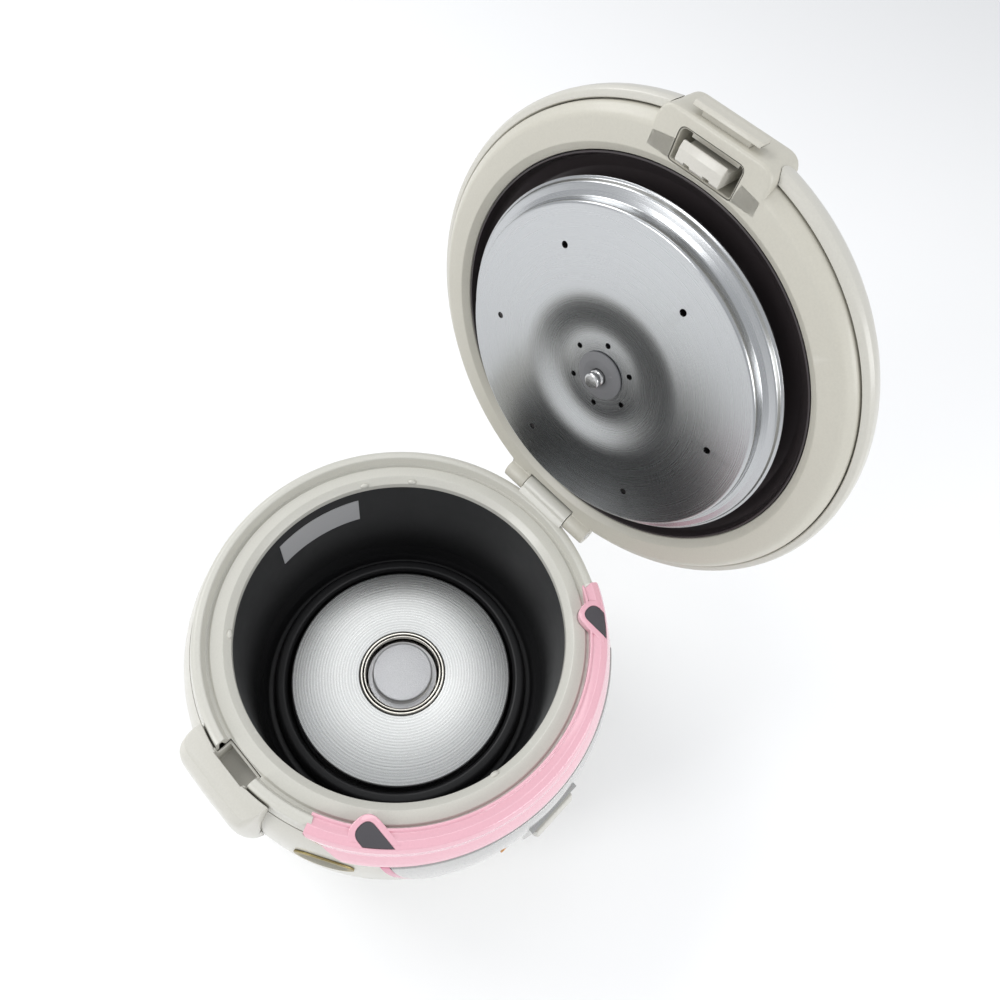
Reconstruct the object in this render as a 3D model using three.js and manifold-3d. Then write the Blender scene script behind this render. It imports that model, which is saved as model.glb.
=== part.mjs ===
// A jar rice cooker with its lid open and its pot lifted out, in millimetres, +Z up.
// The front, with the lever and the lamps, faces -Y. The lid is hinged at +X and latches at -X.
// The origin is the middle of the base plate's flat underside, and the moulded feet stand below it.

import * as THREE from "three";
import { mergeVertices } from "three/addons/utils/BufferGeometryUtils.js";
import Module from "manifold-3d";

const wasm = await Module();
wasm.setup();

// ---- Driving dimensions ----

const GAP = 0.3; // between pieces that touch
const ROUND = 32; // facets round the body
const FINE = 12; // facets round a small piece

const LIP_HEIGHT = 180; // base underside to the lip of the opening
const OPENING_RADIUS = 108;
const LAND_WIDTH = 12; // flat land of the rim, from the opening outwards
const GROOVE_WIDTH = 3.6;
const RIM_WIDTH = 22.8; // opening to the rim's outer face
const RIM_RISE = 8.3; // rim top above the lip

const SHOULDER_WIDTH = 2.7; // rim's outer face to the shoulder
const BELLY_SWELL = 10.5; // shoulder to the belly
const BASE_TAPER = 28; // belly in to the base
const BELLY_DROP = 88; // belly below the lip
const SHELL_FOOT = 4; // height of the shell's lower edge
const SHELL_WALL = 2.5;
const SHOULDER_DROP = 3; // shell's upper edge below the lip

const BASE_THICKNESS = 3.6;
const FOOT_HEIGHT = 6;
const FOOT_RADIUS = 9;
const FOOT_INSET = 24; // feet in from the base's edge
const SCREW_INSET = 8;
const SCREW_RADIUS = 2;

const WELL_DEPTH = 107; // lip to the top of the heating plate
const LINER_WALL = 1.2;
const PLATE_MARGIN = 24; // plate's edge in from the opening
const PLATE_THICKNESS = 8;
const TUBE_INSET = 22; // heating tube in from the plate's edge
const TUBE_RADIUS = 4;
const FLOOR_DROP = 19; // plate's top to the inside of the liner's floor
const BAND_WIDTH = 30; // keep-warm heater round the liner

const CAP_RADIUS = 23;
const CAP_RISE = 3; // thermostat cap above the plate
const CAP_FLANGE = 3.6;
const CAP_WALL = 1.2;
const CUP_SPACE = 5.2; // cap to the inside of its steel cup
const CUP_WALL = 1.6;
const RING_SPACE = 0.8; // cup to the second steel ring
const RING_WALL = 2;
const PLATE_SPACE = 0.4; // second ring to the bore of the plate
const MAGNET_RADIUS = 10;

const PANEL_FROM = -152; // pink front panel, degrees round from +X
const PANEL_TO = -28;
const PANEL_WALL = 2.6;
const PANEL_WIDTH = 14.5; // opening to the panel's inner edge
const PANEL_DEPTH = 14; // lower edge of the pink panel below the lip
const INLAY_ANGLE = 37.71; // degrees from the X axis to an inlay's round inner end
const INLAY_INSET = 8.19; // that end in from the rim's outer face
const INLAY_WIDTH = 12;
const FACE_WALL = 3; // silver face under the pink panel
const FACE_HALF_WIDTH = 98;
const FACE_DROP = 68; // height of the face's curved outline
const TRIM_WIDTH = 4;
const BADGE_DROP = 30; // middle of the badge below the lip
const LAMP_X = 38;
const LAMP_RADIUS = 3;

const LEVER_DROP = 55; // lever pivot below the lip
const LEVER_PIVOT_SPACE = 6; // pivot out from the liner
const LEVER_WIDTH = 34;
const PIVOT_PIN_RADIUS = 1.5; // the lever's, the arm's and the catch's pins
const LEVER_TAB = 16; // height of the finger tab
const LEVER_STAND = 9; // tab's outer face out from the belly
const ARM_PIVOT_Y = -60;
const ARM_PIVOT_HEIGHT = 25;
const ARM_WIDTH = 12;
const STRIP_INSET = 17; // upright end of the lifting arm in from the belly

const HINGE_STAND = 5.5; // hinge axis out from the rim
const HINGE_RISE = 9.2; // hinge axis above the lip
const HINGE_PIN_RADIUS = 2.4;
const KNUCKLE_RADIUS = 7.2;
const KNUCKLE_HALF = 20;
const EAR_WIDTH = 18;
const OPEN_ANGLE = 97; // degrees from closed

const LATCH_HALF = 32; // half width of the latch housings
const LATCH_DROP = 66; // latch housing's foot below the lip
const LATCH_STAND = 11.2; // outer face of the lid's housing out from the rim
const POCKET_HALF = 17;
const NOTCH_HALF = 15;
const NOTCH_DEPTH = 9.8; // notch in from the rim
const CATCH_HALF = 12;
const CATCH_PIVOT_INSET = 3.8; // catch's pin in from the rim
const CATCH_PIVOT_RISE = 27;
const BUTTON_HALF = 18;
const BUTTON_HEIGHT = 9;
const BUTTON_RISE = 16; // middle of the button above the lip
const BUTTON_STAND = 3.6; // button's face out of the housing

const LID_FACE_RISE = 8.8;
const LID_FACE_INSET = 9.8; // inner edge of the lid's face in from the rim
const LID_STAND = 7; // lid frame's outer wall out from the rim
const COVER_STAND = 12.7; // top cover's edge out from the rim
const COVER_EDGE_RISE = 20;
const DOME_HEIGHT = 46;
const COVER_WALL = 2.4;
const LINER_DISH_RISE = 22;
const LID_SCREW_CIRCLE = 85;
const VENT_X = 55;
const VENT_RADIUS = 11;
const VENT_CAP_RADIUS = 17;

const DISC_SPACE = 11.4; // inner lid's flat in from the opening
const DISC_RISE = -3.3;
const DISC_RIM_SPACE = 2.2; // inner lid's rim in from the opening
const DISC_RIM_RISE = 7.5;
const DISH_RADIUS = 54;
const DISH_FLAT = 24.5;
const DISH_RISE = 0.5;
const SHEET = 1.2;
const HOLE_CIRCLE = 75;
const GROMMET_RADIUS = 14.7;
const PIN_RADIUS = 4.8;

const INLET_HALF = 17;
const INLET_HEIGHT = 26;
const INLET_LOW = 22;

// Places that several pieces share.
const lip = LIP_HEIGHT;
const rimRadius = OPENING_RADIUS + RIM_WIDTH;
const shoulderRadius = rimRadius + SHOULDER_WIDTH;
const bellyRadius = shoulderRadius + BELLY_SWELL;
const bellyHeight = LIP_HEIGHT - BELLY_DROP;
const baseRadius = bellyRadius - BASE_TAPER;
const screwCircle = baseRadius - SCREW_INSET;
const plateRadius = OPENING_RADIUS - PLATE_MARGIN;
const tubeCircle = plateRadius - TUBE_INSET;
const cupInner = CAP_RADIUS + CUP_SPACE;
const cupOuter = cupInner + CUP_WALL;
const ringInner = cupOuter + RING_SPACE;
const ringOuter = ringInner + RING_WALL;
const bore = ringOuter + PLATE_SPACE;
const panelInner = OPENING_RADIUS + PANEL_WIDTH;
const leverHeight = lip - LEVER_DROP;
const leverReach = bellyRadius + LEVER_STAND;
const stripY = STRIP_INSET - bellyRadius;
const hingeX = rimRadius + HINGE_STAND;
const latchReach = rimRadius + LATCH_STAND;
const notchInner = rimRadius - NOTCH_DEPTH;
const catchPivotX = CATCH_PIVOT_INSET - rimRadius;
const lidInner = rimRadius - LID_FACE_INSET;
const lidOuter = rimRadius + LID_STAND;
const coverRadius = rimRadius + COVER_STAND;
const discRadius = OPENING_RADIUS - DISC_SPACE;
const discRim = OPENING_RADIUS - DISC_RIM_SPACE;
const rim = lip + RIM_RISE;
const plateTop = lip - WELL_DEPTH;
const plateUnder = plateTop - PLATE_THICKNESS;
const floorTop = plateTop - FLOOR_DROP;
const floorUnder = floorTop - LINER_WALL;
const shoulder = lip - SHOULDER_DROP;
const hingeHeight = lip + HINGE_RISE;
const linerOuter = OPENING_RADIUS + 0.4 + LINER_WALL;
const leverPivotY = -linerOuter - LEVER_PIVOT_SPACE;
const screwAngles = [30, 150, 270];
const linerScrewAngles = [60, 180, 300];

// ---- Finishes ----

const finishes = {
  ivory: { color: 0xe6e3da, roughness: 0.28, metalness: 0 },
  ringGrey: { color: 0xcfccc2, roughness: 0.42, metalness: 0 },
  lidBeige: { color: 0xc6c1b3, roughness: 0.45, metalness: 0 },
  pink: { color: 0xf0b4c6, roughness: 0.2, metalness: 0 },
  charcoal: { color: 0x4a4849, roughness: 0.5, metalness: 0 },
  pearl: { color: 0xb9b7b0, roughness: 0.25, metalness: 0.3 },
  gold: { color: 0x8a7440, roughness: 0.35, metalness: 0.9 },
  amber: { color: 0xd98a2b, roughness: 0.2, metalness: 0 },
  black: { color: 0x17171a, roughness: 0.4, metalness: 0 },
  label: { color: 0xa9aaab, roughness: 0.5, metalness: 0.2 },
  castAluminium: { color: 0xbfc2c0, roughness: 0.3, metalness: 1 },
  sheetAluminium: { color: 0xb4b6b8, roughness: 0.25, metalness: 1 },
  steel: { color: 0xaaaaae, roughness: 0.3, metalness: 1 },
  zinc: { color: 0x9a9c9e, roughness: 0.45, metalness: 1 },
  brown: { color: 0x3a3433, roughness: 0.35, metalness: 0.4 },
  rubber: { color: 0x77777a, roughness: 0.7, metalness: 0 },
  ferrite: { color: 0x2b2b2d, roughness: 0.8, metalness: 0 },
  ceramic: { color: 0xe9e6dd, roughness: 0.6, metalness: 0 },
  redWire: { color: 0xa8322b, roughness: 0.6, metalness: 0 },
  blueWire: { color: 0x2c4f9a, roughness: 0.6, metalness: 0 },
};

// ---- Solids ----

// A closed geometry as a solid that can be cut and joined.
function solid(geometry) {
  const bare = geometry.index ? geometry.toNonIndexed() : geometry.clone();
  bare.deleteAttribute("normal");
  bare.deleteAttribute("uv");
  const merged = mergeVertices(bare, 1e-3);
  return new wasm.Manifold(
    new wasm.Mesh({
      numProp: 3,
      vertProperties: merged.attributes.position.array,
      triVerts: new Uint32Array(merged.index.array),
    }),
  );
}

// A closed outline of [radius, height] points turned round the Z axis.
function turned(outline, facets = ROUND) {
  const points = outline.map(([radius, height]) => new THREE.Vector2(radius, height));
  if (THREE.ShapeUtils.area(points) < 0) points.reverse();
  const start = Math.max(0, points.findIndex((p, i) => p.x === 0 && points.at(i - 1).x === 0));
  const ordered = [...points.slice(start), ...points.slice(0, start)];
  if (ordered[0].x !== 0) ordered.push(ordered[0].clone());
  return solid(new THREE.LatheGeometry(ordered, facets).rotateX(Math.PI / 2));
}

const block = ([x0, x1], [y0, y1], [z0, z1]) =>
  solid(
    new THREE.BoxGeometry(x1 - x0, y1 - y0, z1 - z0).translate(
      (x0 + x1) / 2,
      (y0 + y1) / 2,
      (z0 + z1) / 2,
    ),
  );

// A round bar between two points.
function rod(radius, from, to, facets = FINE) {
  const start = new THREE.Vector3(...from);
  const end = new THREE.Vector3(...to);
  const along = end.clone().sub(start);
  const turn = new THREE.Quaternion().setFromUnitVectors(
    new THREE.Vector3(0, 1, 0),
    along.clone().normalize(),
  );
  const middle = start.add(end).multiplyScalar(0.5);
  const bar = new THREE.CylinderGeometry(radius, radius, along.length(), facets);
  return solid(bar.applyQuaternion(turn).translate(middle.x, middle.y, middle.z));
}

const extruded = (shape, depth, curveSegments = 4) =>
  new THREE.ExtrudeGeometry(shape, { depth, bevelEnabled: false, curveSegments });

// A shape drawn in plan, pulled up from one height to another.
const upright = (shape, low, high, curveSegments) =>
  solid(extruded(shape, high - low, curveSegments).translate(0, 0, low));

// A shape drawn in X and Z, pulled along Y.
const alongY = (shape, from, to, curveSegments) =>
  solid(extruded(shape, to - from, curveSegments).rotateX(Math.PI / 2).translate(0, to, 0));

// A shape drawn in Y and Z, pulled along X, the same both sides of the middle.
const alongX = (shape, half) =>
  solid(
    extruded(shape, 2 * half)
      .translate(0, 0, -half)
      .applyMatrix4(new THREE.Matrix4().set(0, 0, 1, 0, 1, 0, 0, 0, 0, 1, 0, 0, 0, 0, 0, 1)),
  );

const outlineOf = (points) => new THREE.Shape(points.map(([x, y]) => new THREE.Vector2(x, y)));

function roundedBox(x0, y0, x1, y1, corner) {
  const shape = new THREE.Shape();
  shape.moveTo(x0 + corner, y0);
  shape.lineTo(x1 - corner, y0);
  shape.absarc(x1 - corner, y0 + corner, corner, -Math.PI / 2, 0);
  shape.lineTo(x1, y1 - corner);
  shape.absarc(x1 - corner, y1 - corner, corner, 0, Math.PI / 2);
  shape.lineTo(x0 + corner, y1);
  shape.absarc(x0 + corner, y1 - corner, corner, Math.PI / 2, Math.PI);
  shape.lineTo(x0, y0 + corner);
  shape.absarc(x0 + corner, y0 + corner, corner, Math.PI, 1.5 * Math.PI);
  return shape;
}

// A wedge of the space round the body, between two angles in degrees.
function sector(from, to, low, high) {
  const reach = 2 * bellyRadius;
  const shape = new THREE.Shape();
  shape.moveTo(0, 0);
  shape.lineTo(...polar(reach, from));
  shape.absarc(0, 0, reach, THREE.MathUtils.degToRad(from), THREE.MathUtils.degToRad(to));
  return upright(shape, low, high);
}

class Helix extends THREE.Curve {
  constructor(radius, turns, low, high) {
    super();
    Object.assign(this, { radius, turns, low, high });
  }
  getPoint(t, target = new THREE.Vector3()) {
    const angle = 2 * Math.PI * this.turns * t;
    return target.set(
      this.radius * Math.cos(angle),
      this.radius * Math.sin(angle),
      this.low + (this.high - this.low) * t,
    );
  }
}

// A round wire or tube that follows a curve.
function wire(curve, radius, steps, sides = 6) {
  const section = new THREE.Shape();
  section.absarc(0, 0, radius, 0, 2 * Math.PI);
  return new THREE.ExtrudeGeometry(section, {
    extrudePath: curve,
    steps,
    curveSegments: sides / 2,
    bevelEnabled: false,
  });
}

const polar = (radius, degrees) => [
  radius * Math.cos(THREE.MathUtils.degToRad(degrees)),
  radius * Math.sin(THREE.MathUtils.degToRad(degrees)),
];

// Steps from one number to another, both ends included.
const steps = (from, to, count) =>
  Array.from({ length: count + 1 }, (_, i) => from + ((to - from) * i) / count);

// The outer wall's radius at a height: it swells to the belly and rounds over at the shoulder.
function barrelRadius(height) {
  if (height < bellyHeight) {
    const fall = (bellyHeight - height) / (bellyHeight - SHELL_FOOT);
    return bellyRadius - (bellyRadius - baseRadius) * Math.max(0, fall) ** 2.4;
  }
  const rise = (height - bellyHeight) / (shoulder - bellyHeight);
  return bellyRadius - (bellyRadius - shoulderRadius) * rise ** 5;
}

// A band that follows the outer wall between two heights, at two distances out from it.
function barrelBand(low, high, inside, outside, count) {
  const heights = steps(low, high, count);
  const outer = heights.map((z) => [barrelRadius(z) + outside, z]);
  const inner = heights.map((z) => [barrelRadius(z) + inside, z]).reverse();
  return turned([...outer, ...inner]);
}

// The full body up to its shoulder, used to cut what stands against it.
const barrelBlank = (clearance) => {
  const wall = steps(SHELL_FOOT, shoulder, 10).map((z) => [barrelRadius(z) + clearance, z]);
  return turned([[0, SHELL_FOOT], ...wall, [shoulderRadius + clearance, rim + 10], [0, rim + 10]]);
};

const cooker = new THREE.Group();
const lid = new THREE.Group();
const lidPieces = new THREE.Group();
lid.position.set(hingeX, 0, hingeHeight);
lid.rotation.y = THREE.MathUtils.degToRad(OPEN_ANGLE);
lidPieces.position.set(-hingeX, 0, -hingeHeight);
lid.add(lidPieces);
cooker.add(lid);

// Adds one named piece to a group.
function piece(name, shape, finish, group = cooker) {
  const { vertProperties, triVerts } = shape.getMesh();
  const geometry = new THREE.BufferGeometry();
  geometry.setAttribute("position", new THREE.BufferAttribute(vertProperties, 3));
  geometry.setIndex(new THREE.BufferAttribute(triVerts, 1));
  geometry.computeVertexNormals();
  const mesh = new THREE.Mesh(geometry, new THREE.MeshStandardMaterial(finishes[finish]));
  mesh.name = name;
  group.add(mesh);
}

// ---- Outer shell and base ----

const slotHalf = LEVER_WIDTH / 2 + 2;
const slotLow = leverHeight - 21;
const slotHigh = leverHeight + 15;
const guideWall = 1.8;

// The opening that the lever's guide sits in, cut through the shell and the silver face.
const guideHole = block(
  [-slotHalf - guideWall - GAP, slotHalf + guideWall + GAP],
  [-2 * bellyRadius, -linerOuter],
  [slotLow - guideWall - GAP, slotHigh + guideWall + GAP],
);

const inletOuter = barrelRadius(INLET_LOW + INLET_HEIGHT / 2) + 1;
const latchCup = { inner: notchInner + GAP, outer: rimRadius + 9.2, low: lip - 14, wall: 1.7 };

function makeShell() {
  const foldIn = 5;
  const skin = steps(SHELL_FOOT, shoulder, 9);
  const outer = skin.map((z) => [barrelRadius(z), z]);
  const inner = skin.slice(0, -1).map((z) => [barrelRadius(z) - SHELL_WALL, z]).reverse();
  const fold = [
    [shoulderRadius - foldIn, shoulder],
    [shoulderRadius - foldIn, shoulder - SHELL_WALL],
  ];
  let shell = turned([...outer, ...fold, ...inner]);
  for (const angle of screwAngles) {
    const [x, y] = polar(screwCircle, angle);
    shell = shell.add(rod(6, [x, y, SHELL_FOOT], [x, y, SHELL_FOOT + 16]));
    shell = shell.subtract(rod(SCREW_RADIUS + GAP, [x, y, 0], [x, y, SHELL_FOOT + 14]));
  }
  const inletHole = block(
    [-INLET_HALF - GAP, INLET_HALF + GAP],
    [inletOuter - 40, inletOuter + 20],
    [INLET_LOW - GAP, INLET_LOW + INLET_HEIGHT + GAP],
  );
  const latchHole = block(
    [-latchCup.outer - GAP, -latchCup.inner],
    [-NOTCH_HALF, NOTCH_HALF],
    [latchCup.low - GAP, rim],
  );
  piece("outer_shell", shell.subtract(guideHole).subtract(inletHole).subtract(latchHole), "ivory");
}

function makeBase() {
  const radius = baseRadius + 1;
  let base = turned([
    [0, 0],
    [radius - 3, 0],
    [radius, 2],
    [radius, BASE_THICKNESS],
    [0, BASE_THICKNESS],
  ]);
  for (const angle of [45, 135, 225, 315]) {
    const [x, y] = polar(baseRadius - FOOT_INSET, angle);
    base = base.add(rod(FOOT_RADIUS, [x, y, -FOOT_HEIGHT], [x, y, 1]));
  }
  for (const y of [-24, -8, 8, 24])
    for (const x of [-50, 50])
      base = base.subtract(block([x - 18, x + 18], [y - 2, y + 2], [-1, BASE_THICKNESS + 1]));
  screwAngles.forEach((angle, i) => {
    const [x, y] = polar(screwCircle, angle);
    base = base.subtract(rod(SCREW_RADIUS + GAP, [x, y, -1], [x, y, BASE_THICKNESS + 1]));
    const head = rod(4, [x, y, -2.6], [x, y, -GAP]);
    piece(`base_screw_${i + 1}`, head.add(rod(SCREW_RADIUS, [x, y, -1], [x, y, 15])), "zinc");
  });
  piece("base_plate", base, "charcoal");
}

// ---- Rim of the body ----

// Each inlay points straight forward, with a round inner end and its outer end at the panel's edge.
function inlayBar(side, margin, low, high) {
  const half = INLAY_WIDTH / 2 + margin;
  const end = rimRadius - INLAY_INSET;
  const middle = side * end * Math.cos(THREE.MathUtils.degToRad(INLAY_ANGLE));
  const inner = -end * Math.sin(THREE.MathUtils.degToRad(INLAY_ANGLE)) + margin;
  const shape = new THREE.Shape();
  shape.moveTo(middle - half, inner - 60);
  shape.lineTo(middle + half, inner - 60);
  shape.lineTo(middle + half, inner - half);
  shape.absarc(middle, inner - half, half, 0, Math.PI);
  return upright(shape, low, high);
}

const inlaySides = [["left", -1], ["right", 1]];
const bumpMargin = 4;
const panelLow = lip - PANEL_DEPTH;
const panelTop = rim;
const shelf = lip + 0.2;
const disc = (radius, low, high) => turned([[0, low], [radius, low], [radius, high], [0, high]]);

function makeTopRing() {
  const landEnd = OPENING_RADIUS + LAND_WIDTH;
  let ring = turned([
    [OPENING_RADIUS, lip - 6],
    [OPENING_RADIUS, lip - 1.5],
    [OPENING_RADIUS + 2, lip + 0.6],
    [OPENING_RADIUS + 5, lip + 2.4],
    [landEnd, lip + 2.4],
    [landEnd + 1, lip + 1],
    [landEnd + GROOVE_WIDTH, lip + 1],
    [landEnd + GROOVE_WIDTH + 1, rim - 1],
    [landEnd + GROOVE_WIDTH + 2.2, rim],
    [rimRadius - 1.6, rim],
    [rimRadius, rim - 1.6],
    [rimRadius + 0.8, lip],
    [shoulderRadius - 0.3, shoulder + GAP],
    [shoulderRadius - 3, shoulder + GAP],
    [rimRadius - 2, lip + 5.6],
    [rimRadius - 3.8, lip + 5.6],
    [rimRadius - 4.6, lip - 1.2],
    [OPENING_RADIUS + 3, lip - 1.2],
    [OPENING_RADIUS + 2.4, lip - 6],
  ]);
  const panelSpace = turned([
    [panelInner - GAP, shelf],
    [rimRadius - 1.8, shelf],
    [rimRadius - 1.8, lip - 4],
    [bellyRadius, lip - 4],
    [bellyRadius, rim + 5],
    [panelInner - GAP, rim + 5],
  ]);
  ring = ring.subtract(panelSpace.intersect(sector(PANEL_FROM - 0.2, PANEL_TO + 0.2, lip - 9, rim + 9)));
  for (const [, side] of inlaySides) {
    const bump = inlayBar(side, bumpMargin + GAP, lip + 1.7, rim + 5);
    ring = ring.subtract(bump.intersect(disc(rimRadius + 4, lip, rim + 9)));
  }
  ring = ring.subtract(block([-bellyRadius, -notchInner], [-NOTCH_HALF, NOTCH_HALF], [lip - 9, rim + 5]));

  // The middle knuckle of the lid hinge is moulded on the ring, and hides the spring.
  const neck = block([rimRadius - 3.8, hingeX], [-KNUCKLE_HALF, KNUCKLE_HALF], [lip - 1, hingeHeight]);
  ring = ring.add(neck);
  ring = ring.add(
    rod(KNUCKLE_RADIUS, [hingeX, -KNUCKLE_HALF, hingeHeight], [hingeX, KNUCKLE_HALF, hingeHeight]),
  );
  const pinHole = HINGE_PIN_RADIUS + GAP;
  ring = ring.subtract(rod(pinHole, [hingeX, -60, hingeHeight], [hingeX, 60, hingeHeight]));
  ring = ring.subtract(rod(5.6, [hingeX, -12, hingeHeight], [hingeX, 12, hingeHeight]));
  for (const side of [-1, 1]) {
    const from = side * (KNUCKLE_HALF + 0.001);
    const to = side * (KNUCKLE_HALF + EAR_WIDTH + 1.2);
    ring = ring.subtract(rod(KNUCKLE_RADIUS + 0.8, [hingeX, from, hingeHeight], [hingeX, to, hingeHeight]));
  }
  piece("top_ring", ring, "ringGrey");
}

// ---- Front panel ----

function makeFrontPanel() {
  const foot = shelf + GAP;
  const skin = steps(panelLow, shoulder, 4);
  const outer = skin.map((z) => [barrelRadius(z) + GAP + PANEL_WALL, z]);
  const inner = skin.map((z) => [barrelRadius(z) + GAP, z]).reverse();
  let panel = turned([
    ...outer,
    [shoulderRadius + 2.4, lip + 4],
    [shoulderRadius + 0.4, panelTop - 1],
    [shoulderRadius - 2, panelTop],
    [panelInner + 1, panelTop],
    [panelInner, panelTop - 1],
    [panelInner, foot],
    [panelInner + 2, foot],
    [panelInner + 3, lip + 6],
    [shoulderRadius - 3, lip + 5],
    ...inner,
  ]).intersect(sector(PANEL_FROM, PANEL_TO, panelLow - 1, panelTop + 1));
  const underPanel = disc(shoulderRadius - 0.6, lip + 2, panelTop);
  const inlayTop = disc(shoulderRadius - 0.4, panelTop - 1.6, panelTop + 0.2);
  for (const [name, side] of inlaySides) {
    panel = panel.add(inlayBar(side, bumpMargin, lip + 2, panelTop).intersect(underPanel));
    const pocket = inlayBar(side, GAP, panelTop - 1.6 - GAP, panelTop + 2);
    panel = panel.subtract(pocket.intersect(disc(shoulderRadius, lip, panelTop + 3)));
    piece(`panel_inlay_${name}`, inlayBar(side, 0, lip, panelTop + 2).intersect(inlayTop), "charcoal");
  }
  piece("front_panel", panel, "pink");
}

// The silver face ends below in a wide curve, and the pink trim runs round that curve.
function makeSilverFace() {
  const faceTop = panelLow - GAP;
  const curve = (margin) => {
    const shape = new THREE.Shape();
    shape.absellipse(0, faceTop, FACE_HALF_WIDTH + margin, FACE_DROP + margin, Math.PI, 2 * Math.PI);
    return alongY(shape, -2 * bellyRadius, -20, 12);
  };
  const low = faceTop - FACE_DROP - TRIM_WIDTH - 4;
  const skin = barrelBand(low, faceTop, GAP, GAP + FACE_WALL, 7);
  const lampHeight = leverHeight + 4;
  let face = skin.intersect(curve(0)).subtract(guideHole);
  const lamps = [["cook_lamp_lens", -1], ["warm_lamp_lens", 1]];
  for (const [name, side] of lamps) {
    const x = side * LAMP_X;
    const out = -Math.sqrt((barrelRadius(lampHeight) + FACE_WALL) ** 2 - x ** 2);
    face = face.subtract(rod(LAMP_RADIUS + GAP, [x, out - 9, lampHeight], [x, out + 9, lampHeight]));
    const inside = [x, out - 0.6, lampHeight];
    const outside = [x, out + FACE_WALL - 0.5, lampHeight];
    piece(name, rod(LAMP_RADIUS, inside, outside), "amber");
  }
  piece("silver_face", face, "pearl");
  const strip = barrelBand(low, faceTop, GAP, GAP + FACE_WALL - 0.6, 7);
  piece("trim_curve", strip.intersect(curve(TRIM_WIDTH)).subtract(curve(GAP)), "pink");
}

function makeBadge() {
  const height = lip - BADGE_DROP;
  const oval = new THREE.Shape();
  oval.absellipse(0, height, 19, 9, 0, 2 * Math.PI);
  const plug = solid(
    extruded(oval, 40, 10).rotateX(Math.PI / 2).translate(0, -bellyRadius + 35, 0).rotateZ(
      THREE.MathUtils.degToRad(-60),
    ),
  );
  piece("oval_badge", barrelBand(height - 12, height + 12, GAP, 1.5, 4).intersect(plug), "gold");
}

// ---- Liner and heating plate ----

function makeLiner() {
  const r = OPENING_RADIUS + 0.4;
  const t = LINER_WALL;
  const top = lip - 6 - GAP;
  const ridge = plateTop + 0.5;
  let liner = turned([
    [r, top],
    [r, plateTop + 3],
    [r - 1.6, plateTop - 6],
    [r - 6, floorTop + 6],
    [plateRadius + 13.5, floorTop + 5],
    [plateRadius + 12, plateTop - 3],
    [plateRadius + 9.5, ridge],
    [plateRadius + 5, ridge],
    [plateRadius + 3, plateTop - 3],
    [plateRadius + 2.4, floorTop],
    [bore, floorTop],
    [bore, floorUnder],
    [plateRadius + 3.6, floorUnder],
    [plateRadius + 4.4, plateTop - 4],
    [plateRadius + 6, ridge - t],
    [plateRadius + 8.5, ridge - t],
    [plateRadius + 10.8, plateTop - 4],
    [plateRadius + 12.4, floorTop + 3.8],
    [r - 5, floorTop + 4.8],
    [r - 0.5, plateTop - 7],
    [r + t, plateTop + 3],
    [r + t, top - t],
    [r + 6, top - t],
    [r + 6, top],
  ]);
  for (const side of [-1, 1]) {
    const [x, y] = polar(tubeCircle, 90 + side * 9);
    liner = liner.subtract(rod(6, [x, y, floorUnder - 1], [x, y, floorTop + 1]));
  }
  piece("well_liner", liner, "black");

  const bandLow = plateTop - 2;
  piece(
    "keep_warm_band",
    turned([
      [r + t + GAP, bandLow + 6],
      [r + t + GAP + 1.6, bandLow + 6],
      [r + t + GAP + 1.6, bandLow + 6 + BAND_WIDTH],
      [r + t + GAP, bandLow + 6 + BAND_WIDTH],
    ]),
    "zinc",
  );
  const labelHigh = lip - 17;
  const labelLow = lip - 45;
  const sticker = turned([
    [r - GAP - 0.5, labelLow],
    [r - GAP, labelLow],
    [r - GAP, labelHigh],
    [r - GAP - 0.5, labelHigh],
  ]);
  piece("wall_label", sticker.intersect(sector(67, 102, labelLow - 1, labelHigh + 1)), "label");
}

function makeHeatingPlate() {
  let plate = turned([
    [bore, plateTop - 0.6],
    [bore + 1, plateTop],
    [plateRadius - 1.5, plateTop],
    [plateRadius, plateTop - 1.5],
    [plateRadius, plateUnder + 1],
    [plateRadius - 1, plateUnder],
    [bore, plateUnder],
  ]);
  for (const angle of screwAngles) {
    const [x, y] = polar(plateRadius - 8, angle);
    plate = plate.add(rod(4.5, [x, y, floorTop + GAP], [x, y, plateUnder + 1]));
  }
  piece("heating_plate", plate, "castAluminium");

  // The heating tube runs nearly all the way round under the plate, and its ends drop through the floor.
  const height = plateUnder - TUBE_RADIUS - GAP;
  const from = THREE.MathUtils.degToRad(90 + 9);
  const to = THREE.MathUtils.degToRad(90 - 9 + 360);
  const arc = new THREE.CatmullRomCurve3(
    steps(from, to, 28).map(
      (a) => new THREE.Vector3(tubeCircle * Math.cos(a), tubeCircle * Math.sin(a), height),
    ),
  );
  let tube = solid(wire(arc, TUBE_RADIUS, 36, 8));
  for (const side of [-1, 1]) {
    const [x, y] = polar(tubeCircle, 90 + side * 9);
    tube = tube.add(rod(TUBE_RADIUS, [x, y, floorUnder - 3], [x, y, height + 2]));
    tube = tube.add(rod(1.6, [x, y, floorUnder - 9], [x, y, floorUnder]));
  }
  piece("heating_tube", tube, "steel");
}

// ---- Thermostat in the middle of the plate ----

const capTop = plateTop + CAP_RISE;
const flangeHigh = capTop - 8;
const housingFloor = plateTop - 33;
const magnetTop = capTop - 13;

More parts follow.
